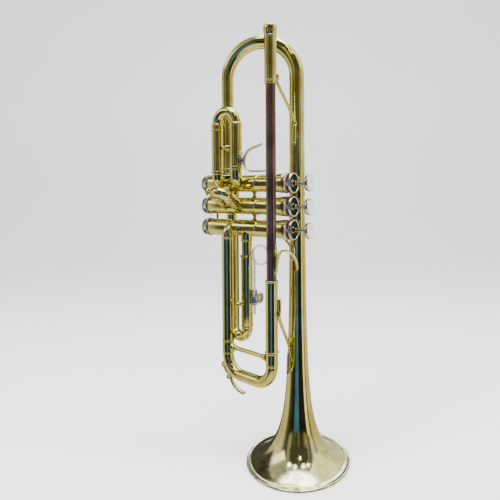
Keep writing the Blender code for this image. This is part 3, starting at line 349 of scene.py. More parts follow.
def slab(centre, axes, sizes):
    mesh = bmesh.new()
    bmesh.ops.create_cube(mesh, size=1)
    turn = Matrix([axis.normalized() * size for axis, size in zip(axes, sizes)])
    mesh.transform(Matrix.Translation(centre) @ turn.transposed().to_4x4())
    return closed(mesh)


def oval(half_width, power, fullness=0.6, tip=0.15):
    """An outline for patch(), widest in the middle."""
    return lambda share: half_width * (1 - abs(2 * share - 1) ** power) ** fullness + tip


def patch(centre, radius, side, z0, z1, outline, thick):
    """A plate with rounded edges that hugs a vertical tube on one side. outline gives its half
    width at a share of the height; radius is the tube's, as a number or a function of z."""
    row_count, column_count = 28, 14
    side = Vector(side).normalized()
    mesh = bmesh.new()
    outer, inner = [], []
    for i in range(row_count + 1):
        share = i / row_count
        z = z0 + (z1 - z0) * share
        half = max(outline(share), 0.05)
        tube_r = radius(z) if callable(radius) else radius
        end = min(1.0, min(share, 1 - share) * (z1 - z0) / thick + 0.12)
        outer.append([])
        inner.append([])
        for j in range(column_count + 1):
            u = -1 + 2 * j / column_count
            angle = math.asin(max(-0.999, min(0.999, half * u / (tube_r + 0.3))))
            out = Matrix.Rotation(angle, 3, "Z") @ side
            rise = max(thick * max(0.0, 1 - abs(u) ** 5) ** 0.5 * end**0.5, 0.06)
            outer[-1].append(mesh.verts.new(at(centre, z) + out * (tube_r + 0.05 + rise)))
            inner[-1].append(mesh.verts.new(at(centre, z) + out * (tube_r - 0.12)))
    skin(mesh, outer, wrap=False)
    skin(mesh, inner, wrap=False)
    for i in (0, -1):
        bridge(mesh, outer[i], inner[i], wrap=False)
    for k in (0, -1):
        bridge(mesh, [row[k] for row in outer], [row[k] for row in inner], wrap=False)
    return closed(mesh)


# ---- objects and booleans -------------------------------------------------------
def place(name, data):
    made = bpy.data.objects.new(name, data)
    bpy.context.scene.collection.objects.link(made)
    return made


def place_mesh(name, mesh):
    data = bpy.data.meshes.new(name)
    mesh.to_mesh(data)
    mesh.free()
    return place(name, data)


def evaluated(target):
    graph = bpy.context.evaluated_depsgraph_get()
    return bpy.data.meshes.new_from_object(target.evaluated_get(graph))


def discard(target):
    data = target.data
    bpy.data.objects.remove(target, do_unlink=True)
    bpy.data.meshes.remove(data)


def combine(base, steps):
    """Booleans on closed meshes, in the order of the steps from add() and cut()."""
    target = place_mesh("tmp", base)
    for operation, tool in steps:
        cutter = place_mesh("tmp", tool)
        change = target.modifiers.new("cut", "BOOLEAN")
        change.operation = operation
        change.solver = "EXACT"
        change.object = cutter
        result = evaluated(target)
        if not result.polygons:  # guards against the exact solver returning an empty mesh
            bpy.data.meshes.remove(result)
            change.solver = "MANIFOLD"
            result = evaluated(target)
        target.modifiers.clear()
        previous, target.data = target.data, result
        bpy.data.meshes.remove(previous)
        discard(cutter)
    mesh = bmesh.new()
    mesh.from_mesh(target.data)
    discard(target)
    bmesh.ops.remove_doubles(mesh, verts=mesh.verts, dist=0.001)
    bmesh.ops.dissolve_degenerate(mesh, edges=mesh.edges, dist=0.0005)
    return mesh


def add(*parts):
    return [("UNION", part) for part in parts]


def cut(*parts):
    return [("DIFFERENCE", part) for part in parts]


def make(name, node, mesh, material, bevel=0.0):
    """One visible piece, standing for its CAD node and riding on that node's body."""
    mesh.transform(Matrix.Translation((BELL_AXIS, 0, 0)) @ Matrix.Scale(MM, 4))
    made = place_mesh(name, mesh)
    data = made.data
    data.materials.append(material)
    data.shade_smooth()
    if bevel:
        change = made.modifiers.new("edge", "BEVEL")
        change.width = bevel * MM
        change.segments = 3
        change.limit_method = "ANGLE"
        change.angle_limit = math.radians(38)
        change.use_clamp_overlap = True
        result = evaluated(made)
        made.modifiers.clear()
        made.data = result
        result.name = name
        bpy.data.meshes.remove(data)
        data = result
        data.shade_smooth()
    data.set_sharp_from_angle(angle=math.radians(34))
    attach(made, frame["nodes"][node]["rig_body"])
    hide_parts(node)
    return made


# ---- shader nodes ---------------------------------------------------------------
class Nodes:
    """The node tree of a material or world. Methods that make a node return its output."""

    def __init__(self, owner):
        owner.use_nodes = True
        self.owner = owner
        self.tree = owner.node_tree

    def wire(self, target, inputs):
        """Sets each input to a value, or links it when given another node's output."""
        for socket, value in inputs.items():
            if isinstance(value, bpy.types.NodeSocket):
                self.tree.links.new(value, target.inputs[socket])
            else:
                target.inputs[socket].default_value = value

    def shader(self, inputs):
        self.wire(self.tree.nodes["Principled BSDF"], inputs)

    def node(self, kind, inputs=None, output=0, **settings):
        made = self.tree.nodes.new("ShaderNode" + kind)
        for key, value in settings.items():
            setattr(made, key, value)
        self.wire(made, inputs or {})
        return made.outputs[output]

    def coords(self, stretch=(1, 1, 1)):
        where = self.node("TexCoord", output="Object")
        return self.node("Mapping", {"Scale": stretch, "Vector": where})

    def noise(self, where, scale, detail=4.0, roughness=0.6, distortion=0.0):
        inputs = {"Scale": scale, "Detail": detail, "Roughness": roughness}
        inputs.update({"Distortion": distortion, "Vector": where})
        return self.node("TexNoise", inputs, "Fac")

    def ramp(self, value, stops):
        """Stops are (position, grey or colour)."""
        output = self.node("ValToRGB", {"Fac": value})
        elements = output.node.color_ramp.elements
        while len(elements) < len(stops):
            elements.new(0.5)
        for element, (position, colour) in zip(elements, stops):
            element.position = position
            element.color = (*(colour if isinstance(colour, tuple) else (colour,) * 3), 1)
        return output

    def remap(self, value, low, high, to_low=0.0, to_high=1.0, **settings):
        inputs = {"From Min": low, "From Max": high, "To Min": to_low, "To Max": to_high}
        return self.node("MapRange", {**inputs, "Value": value}, "Result", **settings)

    def maths(self, operation, *values, clamp=False):
        inputs = dict(enumerate(values))
        return self.node("Math", inputs, operation=operation, use_clamp=clamp)

    def multiply(self, value_a, value_b):
        return self.maths("MULTIPLY", value_a, value_b, clamp=True)

    def plus(self, value_a, value_b):
        return self.maths("ADD", value_a, value_b, clamp=True)

    def mix(self, share, under, over):
        if isinstance(over, tuple):
            over = (*over, 1)
        return self.node("Mix", {0: share, 6: under, 7: over}, 2, data_type="RGBA")

    def bump(self, height, strength, distance, normal=None):
        inputs = {"Strength": strength, "Distance": distance, "Height": height}
        if normal is not None:
            inputs["Normal"] = normal
        return self.node("Bump", inputs)


# ---- materials ------------------------------------------------------------------
def metal(name, colours, roughness, spots, spot_tint, coat, stretch=(1, 1, 1), scratch=0.05,
          metallic=1.0, worn=None):
    """Polished metal: broad colour drift, small spots, fine scratches along the stretch and a
    thin coat. worn=(z0, z1, tint) adds mottled lacquer, in metres, fading out from z0 to z1."""
    nodes = Nodes(bpy.data.materials.new(name))
    where = nodes.coords()
    broad = nodes.noise(where, scale=34.0, detail=5.0, distortion=0.4)
    colour = nodes.ramp(broad, list(zip((0.30, 0.52, 0.74), colours)))
    fine = nodes.noise(where, scale=420.0, detail=6.0, roughness=0.65)
    speck = nodes.ramp(fine, [(0.0, 0), (0.62, 0), (0.70, 1)])
    colour = nodes.mix(nodes.multiply(speck, spots), colour, spot_tint)
    streak = nodes.noise(nodes.coords(stretch), scale=900.0, detail=3.0, roughness=0.5)
    smear = nodes.noise(where, scale=120.0, distortion=0.8)
    rough = nodes.remap(smear, 0.3, 0.75, *roughness)
    rough = nodes.plus(rough, nodes.multiply(speck, 0.12))
    normal = nodes.bump(streak, strength=scratch, distance=0.00004)
    normal = nodes.bump(broad, strength=0.10, distance=0.0008, normal=normal)
    if worn:
        place_now = nodes.node("TexCoord", output="Object")
        height = nodes.node("SeparateXYZ", {0: place_now}, "Z")
        zone = nodes.remap(height, worn[0], worn[1], to_low=1.0, to_high=0.0)
        pale = (0.86, 0.88, 0.74)
        colour = nodes.mix(nodes.multiply(zone, 0.42), colour, pale)
        cloud = nodes.noise(where, scale=70.0, distortion=0.3)
        grit = nodes.noise(where, scale=520.0, detail=6.0, roughness=0.72)
        blotch = nodes.multiply(cloud, nodes.plus(grit, 0.35))
        mask = nodes.multiply(nodes.remap(blotch, 0.42, 0.56), zone)
        colour = nodes.mix(nodes.multiply(mask, 0.80), colour, worn[2])
        rough = nodes.plus(rough, nodes.multiply(mask, 0.10))
        pits = nodes.noise(where, scale=420.0, detail=6.0, roughness=0.70, distortion=0.3)
        dimple = nodes.multiply(pits, zone)
        normal = nodes.bump(dimple, strength=0.16, distance=0.0005, normal=normal)
    nodes.shader({
        "Metallic": metallic, "Base Color": colour, "Roughness": rough,
        "Coat Weight": coat, "Coat Roughness": 0.09, "Normal": normal,
    })
    return nodes.owner


def grained(name, grain, stops, roughness, bump, finish, rough_grain=None):
    """A material coloured, roughened and bumped by one noise; rough_grain roughens instead."""
    nodes = Nodes(bpy.data.materials.new(name))
    where = nodes.coords()
    height = nodes.noise(where, **grain)
    rough = nodes.noise(where, **rough_grain) if rough_grain else height
    nodes.shader({
        "Base Color": nodes.ramp(height, stops),
        "Roughness": nodes.remap(rough, 0.2, 0.8, *roughness),
        "Normal": nodes.bump(height, strength=bump, distance=0.0003),
        **finish,
    })
    return nodes.owner


BRASS = ((0.58, 0.480, 0.095), (0.75, 0.655, 0.185), (0.87, 0.800, 0.320))
bell_brass = metal(
    "bell_lacquered_brass", BRASS, roughness=(0.035, 0.10), spots=0.5,
    spot_tint=(0.34, 0.23, 0.09), coat=0.4, stretch=(1, 1, 0.06),
    worn=(0.008, 0.040, (0.20, 0.19, 0.12)),
)
brass, valve_brass = (
    metal(
        name, BRASS, roughness=(0.035, 0.11), spots=0.45, spot_tint=(0.33, 0.22, 0.08),
        coat=0.4, stretch=stretch,
    )
    for name, stretch in (
        ("lacquered_brass", (1, 1, 0.08)),
        ("valve_lacquered_brass", (0.08, 1, 1)),
    )
)
rose_brass = metal(
    "rose_brass", ((0.085, 0.046, 0.034), (0.150, 0.086, 0.066), (0.250, 0.160, 0.125)),
    roughness=(0.13, 0.25), spots=0.25, spot_tint=(0.06, 0.03, 0.02), coat=0.3,
    stretch=(1, 1, 0.05), metallic=0.92,
)
nickel = metal(
    "nickel_plate", ((0.50, 0.46, 0.37), (0.66, 0.62, 0.52), (0.77, 0.74, 0.65)),
    roughness=(0.10, 0.22), spots=0.55, spot_tint=(0.36, 0.31, 0.22), coat=0.1,
)
satin_nickel = metal(
    "satin_nickel_plate", ((0.44, 0.41, 0.33), (0.58, 0.55, 0.46), (0.70, 0.67, 0.58)),
    roughness=(0.24, 0.36), spots=0.55, spot_tint=(0.30, 0.26, 0.18), coat=0.1, metallic=0.6,
)
key_nickel = metal(
    "handled_nickel_plate", ((0.24, 0.21, 0.13), (0.40, 0.36, 0.24), (0.56, 0.51, 0.36)),
    roughness=(0.14, 0.28), spots=0.8, spot_tint=(0.20, 0.16, 0.10), coat=0.1, scratch=0.08,
)
# bottom caps: a darker copy of the nickel; its heavier spots and scratches are wear, its darker
# base colour is a painted dark reflection
cap_nickel = metal(
    "worn_nickel_painted_dark_reflection", ((0.26, 0.24, 0.20), (0.42, 0.40, 0.35), (0.60, 0.58, 0.53)),
    roughness=(0.12, 0.26), spots=0.8, spot_tint=(0.22, 0.19, 0.15), coat=0.1, scratch=0.08,
)
steel = metal(
    "spring_steel", ((0.36, 0.35, 0.34), (0.48, 0.47, 0.46), (0.58, 0.57, 0.55)),
    roughness=(0.22, 0.38), spots=0.3, spot_tint=(0.25, 0.20, 0.16), coat=0.0, scratch=0.10,
)
felt = grained(
    "black_felt", dict(scale=2600.0, detail=6.0, roughness=0.7, distortion=1.5),
    [(0.2, (0.002, 0.002, 0.002)), (0.6, (0.006, 0.006, 0.007)), (0.9, (0.02, 0.02, 0.022))],
    roughness=(0.85, 1.0), bump=0.8, rough_grain=dict(scale=500.0),
    finish={"Sheen Weight": 0.04, "Specular IOR Level": 0.15},
)
pearl = grained(
    "white_pearl", dict(scale=160.0, detail=3.0, roughness=0.5, distortion=2.2),
    [(0.25, (0.44, 0.47, 0.52)), (0.5, (0.56, 0.57, 0.59)), (0.75, (0.66, 0.64, 0.60))],
    roughness=(0.10, 0.24), bump=0.05,
    finish={
        "Coat Weight": 0.8, "Coat Roughness": 0.05,
        "Subsurface Weight": 0.12, "Subsurface Radius": (0.001, 0.001, 0.001),
    },
)
cork = grained(
    "cork", dict(scale=900.0, detail=5.0, roughness=0.7),
    [(0.3, (0.09, 0.045, 0.02)), (0.5, (0.24, 0.15, 0.08)), (0.75, (0.34, 0.23, 0.13))],
    roughness=(0.75, 0.95), bump=0.6, finish={},
)


# ---- bell, bow and tail ---------------------------------------------------------
SHEET = 0.6
RIM_BEAD_R = 1.35
TAIL_R = 7.0


def bell_radius(z):
    return THROAT_R + (RIM_R - THROAT_R) / (1 + z / FLARE_LENGTH) ** FLARE_POWER


def bell_stations():
    """Centres and outer radii from the rim up the flare, over the bow and down the tail."""
    stations = []
    z = 2.6
    while z < 130:
        stations.append((at((0, 0), z), bell_radius(z)))
        z += 0.8 + 0.03 * z
    stations += [(at((0, 0), z), bell_radius(z)) for z in range(134, 447, 9)]
    half, out = TAIL.length / 2, TAIL.normalized()
    start_r = bell_radius(BOW_Z)
    steps = 64
    for i in range(steps + 1):
        angle = math.pi * i / steps
        rise = Vector((0, 0, BOW_Z + half * math.sin(angle)))
        centre = out * (half - half * math.cos(angle)) + rise
        stations.append((centre, start_r + (TAIL_R - start_r) * i / steps))
    for k in range(1, 13):
        z = BOW_Z + (TAIL_END_Z - BOW_Z) * k / 12
        stations.append((at(TAIL, z), TAIL_R - 0.6 * ((k - 1) / 11)))
    return stations


def rim_profile():
    """The sheet rolled into a full bead, a small flat under it and the sheet's inner edge."""
    centre_r = RIM_R - RIM_BEAD_R
    points = []
    for degrees in range(118, -91, -13):
        u, v = circle(math.radians(degrees))
        points.append((centre_r + RIM_BEAD_R * u, RIM_BEAD_R + RIM_BEAD_R * v))
    points += [(centre_r, 0.0), (RIM_R - 2.3, 0.0)]
    for degrees in (225, 200, 180):
        u, v = circle(math.radians(degrees))
        points.append((RIM_R - 2.35 + 0.75 * u + 0.3, 0.75 + 0.75 * v))
    return points


def bell_horn():
    segs = 128
    stations = bell_stations()
    axes = axes_along([centre for centre, _ in stations])
    mesh = bmesh.new()
    outer, inner, rim = [], [], []
    angles = [TAU * k / segs for k in range(segs)]
    for (centre, radius), (side_a, side_b) in zip(stations, axes):
        outer.append([])
        inner.append([])
        for angle in angles:
            out = side_a * math.cos(angle) + side_b * math.sin(angle)
            outer[-1].append(mesh.verts.new(centre + out * radius))
            inner[-1].append(mesh.verts.new(centre + out * (radius - SHEET)))
    side_a, side_b = axes[0]
    for radius, z in rim_profile():
        rim.append([])
        for angle in angles:
            offset_a = side_a * (radius * math.cos(angle))
            offset_b = side_b * (radius * math.sin(angle))
            rim[-1].append(mesh.verts.new(at((0, 0), z) + offset_a + offset_b))
    skin(mesh, outer[::-1] + rim + inner)
    bridge(mesh, outer[-1], inner[-1])
    return closed(mesh)


make("bell_horn", "bell", bell_horn(), bell_brass)
collar = [(6.5, 334.6), (7.4, 334.7)] + bead(334.8, 336.8, 7.4, 8.1)
collar += [(7.5, 337.2), (7.35, 340.2)] + bead(340.4, 342.0, 7.3, 7.75)
collar += [(7.0, 342.5), (6.5, 342.5)]
make("bell_tail_collar", "bell_tail_ferrule", lathe(collar, TAIL, loop=True), brass)

# ---- leadpipe line; the profiles are (radius, height) ---------------------------
receiver = [
    (5.75, 491.6), (6.0, 491.7), (6.35, 491.55), (6.7, 491.2), (7.0, 490.6), (7.25, 489.6),
    (7.4, 488.2), (7.42, 486.4), (7.3, 484.4), (7.05, 482.6), (6.85, 481.4), (6.6, 480.9),
]
receiver += bead(478.9, 480.6, 6.55, 7.1)[::-1]
receiver += [(6.52, 478.4), (6.5, 470), (6.42, 450), (6.32, 434.2)]
receiver += bead(431.6, 433.6, 6.3, 6.8)[::-1]
receiver += [
    (6.3, 431.3), (6.2, 429.9), (5.95, 429.5), (5.45, 429.5), (5.45, 462.5), (4.8, 463.0),
    (5.4, 490.6), (5.62, 491.4),
]
receiver = lathe(receiver, LEAD, segs=80, loop=True)
make("receiver_tube", "mouthpiece_receiver", receiver, brass)

lead_rows = [(5.5, z) for z in range(212, 463, 10)] + [(5.4, 462.2)]
make("lead_tube", "leadpipe", tube(upright(LEAD, lead_rows, 4.5)), rose_brass)

lead_slide = [(5.6, 219.4), (6.3, 219.4)] + bead(217.4, 219.2, 6.55, 7.25)[::-1]
lead_slide += [(6.7, 217.1), (6.66, 216.4), (6.65, 180), (6.65, 145.4), (6.68, 142.6)]
lead_slide += bead(139.9, 142.2, 6.8, 7.75)[::-1]
lead_slide += [(6.3, 139.7), (6.25, 140.2), (6.25, 210.4), (5.6, 211.0)]
lead_slide = lathe(lead_slide, LEAD, segs=80, loop=True)
make("lead_slide_tube", "leadpipe_slide_tube", lead_slide, brass)


# ---- lower slide tube with its elbow into the third casing ----------------------
def valve_lathe(i, profile, segs=96, **options):
    """A profile turned about the axis of valve i, counted from 0 at the top."""
    return lathe(profile, (0, VALVE_Y, VALVE_Z[i]), "X", segs, **options)


def valve_core(i, radius, x0=-120.0, x1=10.0, segs=96):
    return valve_lathe(i, [(0, x0), (radius, x0), (radius, x1), (0, x1)], segs)


ELBOW_R = 8.0
elbow_top = VALVE_Z[2]
elbow = [Vector((LOWER.x, VALVE_Y - 3.2, elbow_top))]
elbow_centre = (LOWER.x, LOWER.y + ELBOW_R, elbow_top - ELBOW_R)
elbow += arc(elbow_centre, UP, (0, -1, 0), 90, ELBOW_R, 22)
narrow = [(6.3, 263.4)] + bead(262.6, 260.6, 6.3, 7.15) + [(6.72, 260.2)]
wide = [(6.65, 259.6), (6.65, 200), (6.65, 145.4), (6.68, 142.6)]
wide += bead(142.2, 139.9, 6.8, 7.45)
stations = [(point, 6.3, 5.5) for point in elbow]
stations += upright(LOWER, narrow, 5.5) + upright(LOWER, wide, 6.25)
lower_tube = combine(tube(stations), cut(valve_core(2, 9.0, -90, -60, 64)))
make("lower_tube", "lower_slide_tube", lower_tube, brass)

# ---- main tuning slide ----------------------------------------------------------
ACROSS = (LEAD - LOWER).normalized()
AXLE = Vector((ACROSS.y, -ACROSS.x, 0)).normalized()  # square to the crook, towards -Y
lead_centre = LEAD - ACROSS * CROWN_BEND_R + Vector((0, 0, CROWN_TOP_Z))
lower_centre = LOWER + ACROSS * CROWN_BEND_R + Vector((0, 0, CROWN_TOP_Z))


def crook_direction(degrees):
    """From lower_centre, turned from straight down towards the lower tube."""
    angle = math.radians(degrees)
    return DOWN * math.cos(angle) - ACROSS * math.sin(angle)


def crook_core(first_degrees, clearance):
    """The crook's bend about lower_centre, as a cutter."""
    path = [
        lower_centre + CROWN_BEND_R * crook_direction(degrees)
        for degrees in range(first_degrees, 100, 5)
    ]
    return sweep(path, CROWN_R + clearance, segs=72)


def tuning_leg(base, top):
    rows = [
        (5.9, top), (5.9, 170), (5.9, 139.4), (5.9, 138.9), (6.2, 138.7), (6.5, 138.5),
        (6.62, 138.1), (6.65, 136.9), (6.62, 132), (6.6, 128.2),
    ]
    return upright(base, rows + bead(127.4, 126.2, 6.5, 6.8), 5.3)


crown = arc(lead_centre, ACROSS, DOWN, 90, CROWN_BEND_R, 28)
crown += arc(lower_centre, DOWN, -ACROSS, 90, CROWN_BEND_R, 28)
WATER_DIR = crook_direction(62)
water_hole = lower_centre + WATER_DIR * CROWN_BEND_R
crook = combine(
    u_bend(tuning_leg(LEAD, 205.0), tuning_leg(LOWER, 228.0), crown, CROWN_R, 5.3),
    cut(sweep([water_hole, water_hole + WATER_DIR * 9], 1.6, segs=24)),
)
make("tuning_crook", "tuning_slide", crook, brass)

brace_start = LOWER + ACROSS * 6.55 + Vector((0, 0, 133.4))
brace_end = LEAD - ACROSS * 6.55 + Vector((0, 0, 133.4))
brace_length = (brace_end - brace_start).length
half_brace = [
    (0, 0), (4.3, 0.25), (4.6, 0.7), (4.5, 1.2), (3.9, 1.9), (3.5, 2.8), (3.35, 3.8),
    (3.45, 4.3), (3.55, 4.8), (3.4, 5.3), (3.0, 5.7), (2.7, 6.6), (2.5, 8.4), (2.45, 12.0),
]
profile = mirrored(half_brace, brace_length, [(2.45, brace_length / 2)])
brace = combine(
    lathe(profile, brace_start, brace_end - brace_start, 48),
    cut(*[upright_rod(base, 120, 150, 6.6) for base in (LEAD, LOWER)]),
)
make("tuning_brace", "tuning_slide_brace", brace, brass)

# ---- water key ------------------------------------------------------------------
PIVOT_DIR = crook_direction(35)
pivot = lower_centre + PIVOT_DIR * (CROWN_BEND_R + CROWN_R + 4.8)
key_tangent = PIVOT_DIR.cross(AXLE).normalized()


def pivot_rod(start, end, radius, segs):
    return sweep([pivot + AXLE * start, pivot + AXLE * end], radius, segs=segs)


bracket_axes = (key_tangent, AXLE, PIVOT_DIR)
saddle_base = lower_centre + PIVOT_DIR * (CROWN_BEND_R + CROWN_R + 0.2)
ears = []
for s in (-1, 1):
    ear_centre = saddle_base + AXLE * (s * 3.9) + PIVOT_DIR * 1.6
    ears.append(slab(ear_centre, bracket_axes, (4.8, 1.3, 6.2)))
    ears.append(pivot_rod(s * 3.25, s * 4.55, 2.55, 48))
bracket = combine(
    slab(saddle_base, bracket_axes, (5.6, 9.1, 2.6)),
    add(*ears) + cut(crook_core(-20, 0.02), pivot_rod(-8, 8, 0.95, 24)),
)
make("water_key_bracket", "water_key_saddle", bracket, brass, bevel=0.25)

screw = [
    (0, -5.4), (1.3, -5.4), (1.55, -5.1), (1.55, -4.75), (0.8, -4.65), (0.8, 5.2), (0.6, 5.4),
    (0, 5.4),
]
slot_axes = (key_tangent, PIVOT_DIR, AXLE)
screw = combine(
    lathe(screw, pivot, AXLE, 32), cut(slab(pivot - AXLE * 5.4, slot_axes, (4.0, 0.45, 0.7)))
)
make("water_key_screw", "water_key_pin", screw, steel)

# lever points: distance from the pivot along ACROSS and down
LEVER = ((0.0, 0.0), (1.8, 3.6), (5.6, 8.4), (12.1, 12.0), (18.7, 13.9), (22.4, 14.3))
lever_path = smooth([pivot + ACROSS * out + DOWN * drop for out, drop in LEVER], 10)
lever_radii = spread([1.9, 1.9, 2.15, 2.65, 2.75, 2.35], len(lever_path))
neck_end = WATER_DIR * (CROWN_BEND_R + CROWN_R + 6.0) + lower_centre
neck_middle = (pivot + neck_end) / 2 + WATER_DIR * 1.6
neck_path = smooth([pivot + WATER_DIR * 0.4, neck_middle, neck_end], 10)
pad_centre = lower_centre + WATER_DIR * (CROWN_BEND_R + CROWN_R + 3.4)
pad_cup = [
    (0, -0.2), (3.45, -0.2), (3.9, 0.1), (4.0, 0.7), (3.85, 1.3), (3.0, 2.0), (1.6, 2.5),
    (0, 2.6),
]
key = combine(
    pivot_rod(-2.9, 2.9, 2.1, 40),
    add(
        round_rod(lever_path, lever_radii, 32, (0.42, 1.12), 0.8, (False, True), normal=UP),
        sweep(neck_path, spread([1.6, 1.35, 1.5], len(neck_path)), segs=28),
        lathe(pad_cup, pad_centre + WATER_DIR * 0.75, WATER_DIR, 48),
    )
    + cut(pivot_rod(-8, 8, 0.95, 24)),
)
make("water_key_arm", "water_key_lever", key, key_nickel)
pad = [(0, -3.4), (3.0, -3.4), (3.2, -2.9), (3.3, -0.6), (3.3, 0.5), (0, 0.5)]
pad = combine(lathe(pad, pad_centre, WATER_DIR, 40), cut(crook_core(20, 0.1)))
make("water_key_pad", "water_key_cork", pad, cork)

# ---- valves; the profiles are (radius, x) ---------------------------------------
CASING = [
    (8.7, -111.5), (9.35, -111.5), (9.35, -106.2), (9.6, -106.0), (9.7, -105.6), (9.7, -80),
    (9.7, -50), (9.7, -40.2), (9.74, -39.6), (10.05, -39.3), (10.2, -38.9), (10.22, -38.5),
    (10.1, -38.0), (9.86, -37.7), (9.8, -37.2), (9.75, -30), (9.75, -17),
]
for i in range(1, 13):
    t = i / 12
    CASING.append((9.75 + 1.35 * (0.5 - 0.5 * math.cos(math.pi * t)), -17 + 12.6 * t))
CASING += [
    (11.12, -3.6), (11.12, -2.9), (10.9, -2.5), (10.4, -2.3), (10.4, 3.0), (8.7, 3.0),
]
TOP_CAP = [
    (10.5, -1.6), (11.2, -1.7), (11.45, -1.5), (11.5, -1.0), (11.35, -0.5), (11.3, 0.0),
    (11.3, 1.6), (11.55, 2.0), (11.8, 2.4), (11.8, 2.6),
]
TOP_CAP += [(11.8, 2.8 + 0.55 * k) for k in range(8)]
TOP_CAP += [
    (11.75, 7.0), (11.55, 7.5), (11.35, 8.1), (11.0, 8.5), (10.6, 8.65), (10.2, 8.6),
    (9.95, 8.35), (9.8, 7.8), (9.75, 5.2), (4.3, 5.2), (4.3, 5.9), (4.1, 6.2), (3.7, 6.3),
    (3.2, 6.3), (2.85, 6.1), (2.7, 5.6), (2.7, 3.4), (10.6, 3.4),
]
FELT = [
    (4.4, 5.25), (4.4, 6.2), (4.7, 6.6), (5.4, 6.8), (7.5, 6.8), (8.9, 6.55), (9.5, 6.1),
    (9.6, 5.25),
]
BOTTOM_CAP = [(9.75, -106.4), (10.4, -106.4), (10.7, -106.7), (10.75, -107.1)]
BOTTOM_CAP += [(10.75, -107.6 - 0.6 * k) for k in range(7)] + [(10.7, -111.7)]
for degrees in range(0, 80, 10):
    u, v = circle(math.radians(degrees))
    BOTTOM_CAP.append((5.2 + 5.2 * u**0.9, -112.1 - 4.7 * v**1.15))
BOTTOM_CAP += [
    (4.2, -116.95), (2.6, -117.0), (2.0, -116.7), (1.7, -116.2), (1.6, -113.6),
    (9.4, -113.2), (9.75, -112.6),
]
PISTON = [
    (0, -12), (7.2, -12), (7.9, -12.3), (8.25, -12.9), (8.35, -13.6), (8.35, -87.4),
    (8.1, -87.8), (7.8, -88), (6.9, -88), (6.9, -62), (0, -62),
]
PISTON_PORTS = ((-52.5, 0, 12), (-38.5, 12, 0), (-24.5, 0, 12))  # x, reach along Y, along Z
BUTTON = [(0, -11.7), (3.4, -11.7), (3.4, -9.4), (2.1, -9.2), (2.1, 9.0)]
BUTTON += bead(9.4, 10.8, 2.1, 2.55)
BUTTON += [
    (2.1, 11.4), (2.1, 22.9), (2.4, 23.25), (3.4, 23.5), (6.0, 23.75), (8.2, 24.15),
    (8.9, 24.6), (9.15, 25.1), (9.15, 27.4), (9.05, 27.9), (8.8, 28.2), (8.5, 28.25),
    (8.3, 28.1), (8.25, 27.6), (0, 27.6),
]
INLAY = [
    (0, 27.65), (8.1, 27.65), (8.15, 28.2), (8.05, 28.6), (7.8, 28.9), (7.4, 29.05),
    (6.6, 29.05), (5.6, 28.95), (3.5, 28.8), (0, 28.75),
]
CAP_SEGS = 320
CAP_RIDGES = 80
SPRING_X = -0.1124  # metres, the spring's fixed end
SPRING_LENGTH = 49.8
SPRING_COILS = 6
SPRING_STEPS = 36  # in one coil

# stubs on the middle casing: x, way along Z, radius, bore, end flare
STUBS = (
    (-72.6, 1, 5.8, 5.2, 0.7),
    (-76.7, -1, 6.0, 5.4, 0.7),
    (-97.8, -1, 1.5, None, 0.9),
)


def casing(i):
    body = valve_lathe(i, CASING, loop=True)
    if i != 1:
        return body
    stubs = []
    for x, way, radius, bore, flare in STUBS:
        path, radii = [], []
        for k in range(13):
            out = 9.0 + (VALVE_PITCH - CASING_R - 9.0 + 0.9) * k / 12
            near = max(0.0, 1 - (out - 9.2) / 1.6) ** 2
            far = max(0.0, 1 - (VALVE_PITCH - 9.2 - out) / 1.6) ** 2
            path.append(Vector((x, VALVE_Y, VALVE_Z[i] + way * out)))
            radii.append(radius + flare * (near + far))
        stubs.append(sweep(path, radii, bore, 48))
    return combine(body, add(*stubs))


def cap_felt(i):
    """A felt washer whose +X face is slightly uneven."""
    mesh = valve_lathe(i, FELT, loop=True)
    for vert in mesh.verts:
        if vert.co.x > 6.0:
            vert.co.x += 0.12 * noise.noise(vert.co * 1.7)
    return mesh


def piston(i):
    z = VALVE_Z[i]
    ports = [
        sweep([(x, VALVE_Y - dy, z - dz), (x, VALVE_Y + dy, z + dz)], 5.0, segs=40)
        for x, dy, dz in PISTON_PORTS
    ]
    return combine(valve_lathe(i, PISTON, 80), cut(*ports))


def spring(i):
    helix = []
    total = SPRING_COILS * SPRING_STEPS
    for k in range(total + 1):
        angle = TAU * k / SPRING_STEPS
        y, z = VALVE_Y + 5.4 * math.cos(angle), VALVE_Z[i] + 5.4 * math.sin(angle)
        helix.append((SPRING_X / MM + SPRING_LENGTH * k / total, y, z))
    return sweep(helix, 0.5, segs=10)


for i in range(3):
    tag = str(i + 1)
    make("casing_" + tag, "valve_casing_" + tag, casing(i), valve_brass)
    top_cap = valve_lathe(i, TOP_CAP, CAP_SEGS, loop=True, knurl=(2.75, 6.7, CAP_RIDGES, 0.32))
    make("top_cap_rim_" + tag, "top_cap_" + tag, top_cap, nickel)
    make("cap_felt_" + tag, "top_cap_felt_" + tag, cap_felt(i), felt)
    knurl = (-111.3, -107.5, CAP_RIDGES, 0.3)
    bottom_cap = valve_lathe(i, BOTTOM_CAP, CAP_SEGS, loop=True, knurl=knurl)
    make("bottom_cap_dome_" + tag, "bottom_cap_" + tag, bottom_cap, cap_nickel)
    make("piston_body_" + tag, "valve_piston_" + tag, piston(i), nickel)
    make("button_cup_" + tag, "finger_button_" + tag, valve_lathe(i, BUTTON), nickel)
    make("button_inlay_" + tag, "button_pearl_" + tag, valve_lathe(i, INLAY), pearl)
    coil = make("spring_coil_" + tag, "valve_spring_" + tag, spring(i), steel)
    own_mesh(coil)

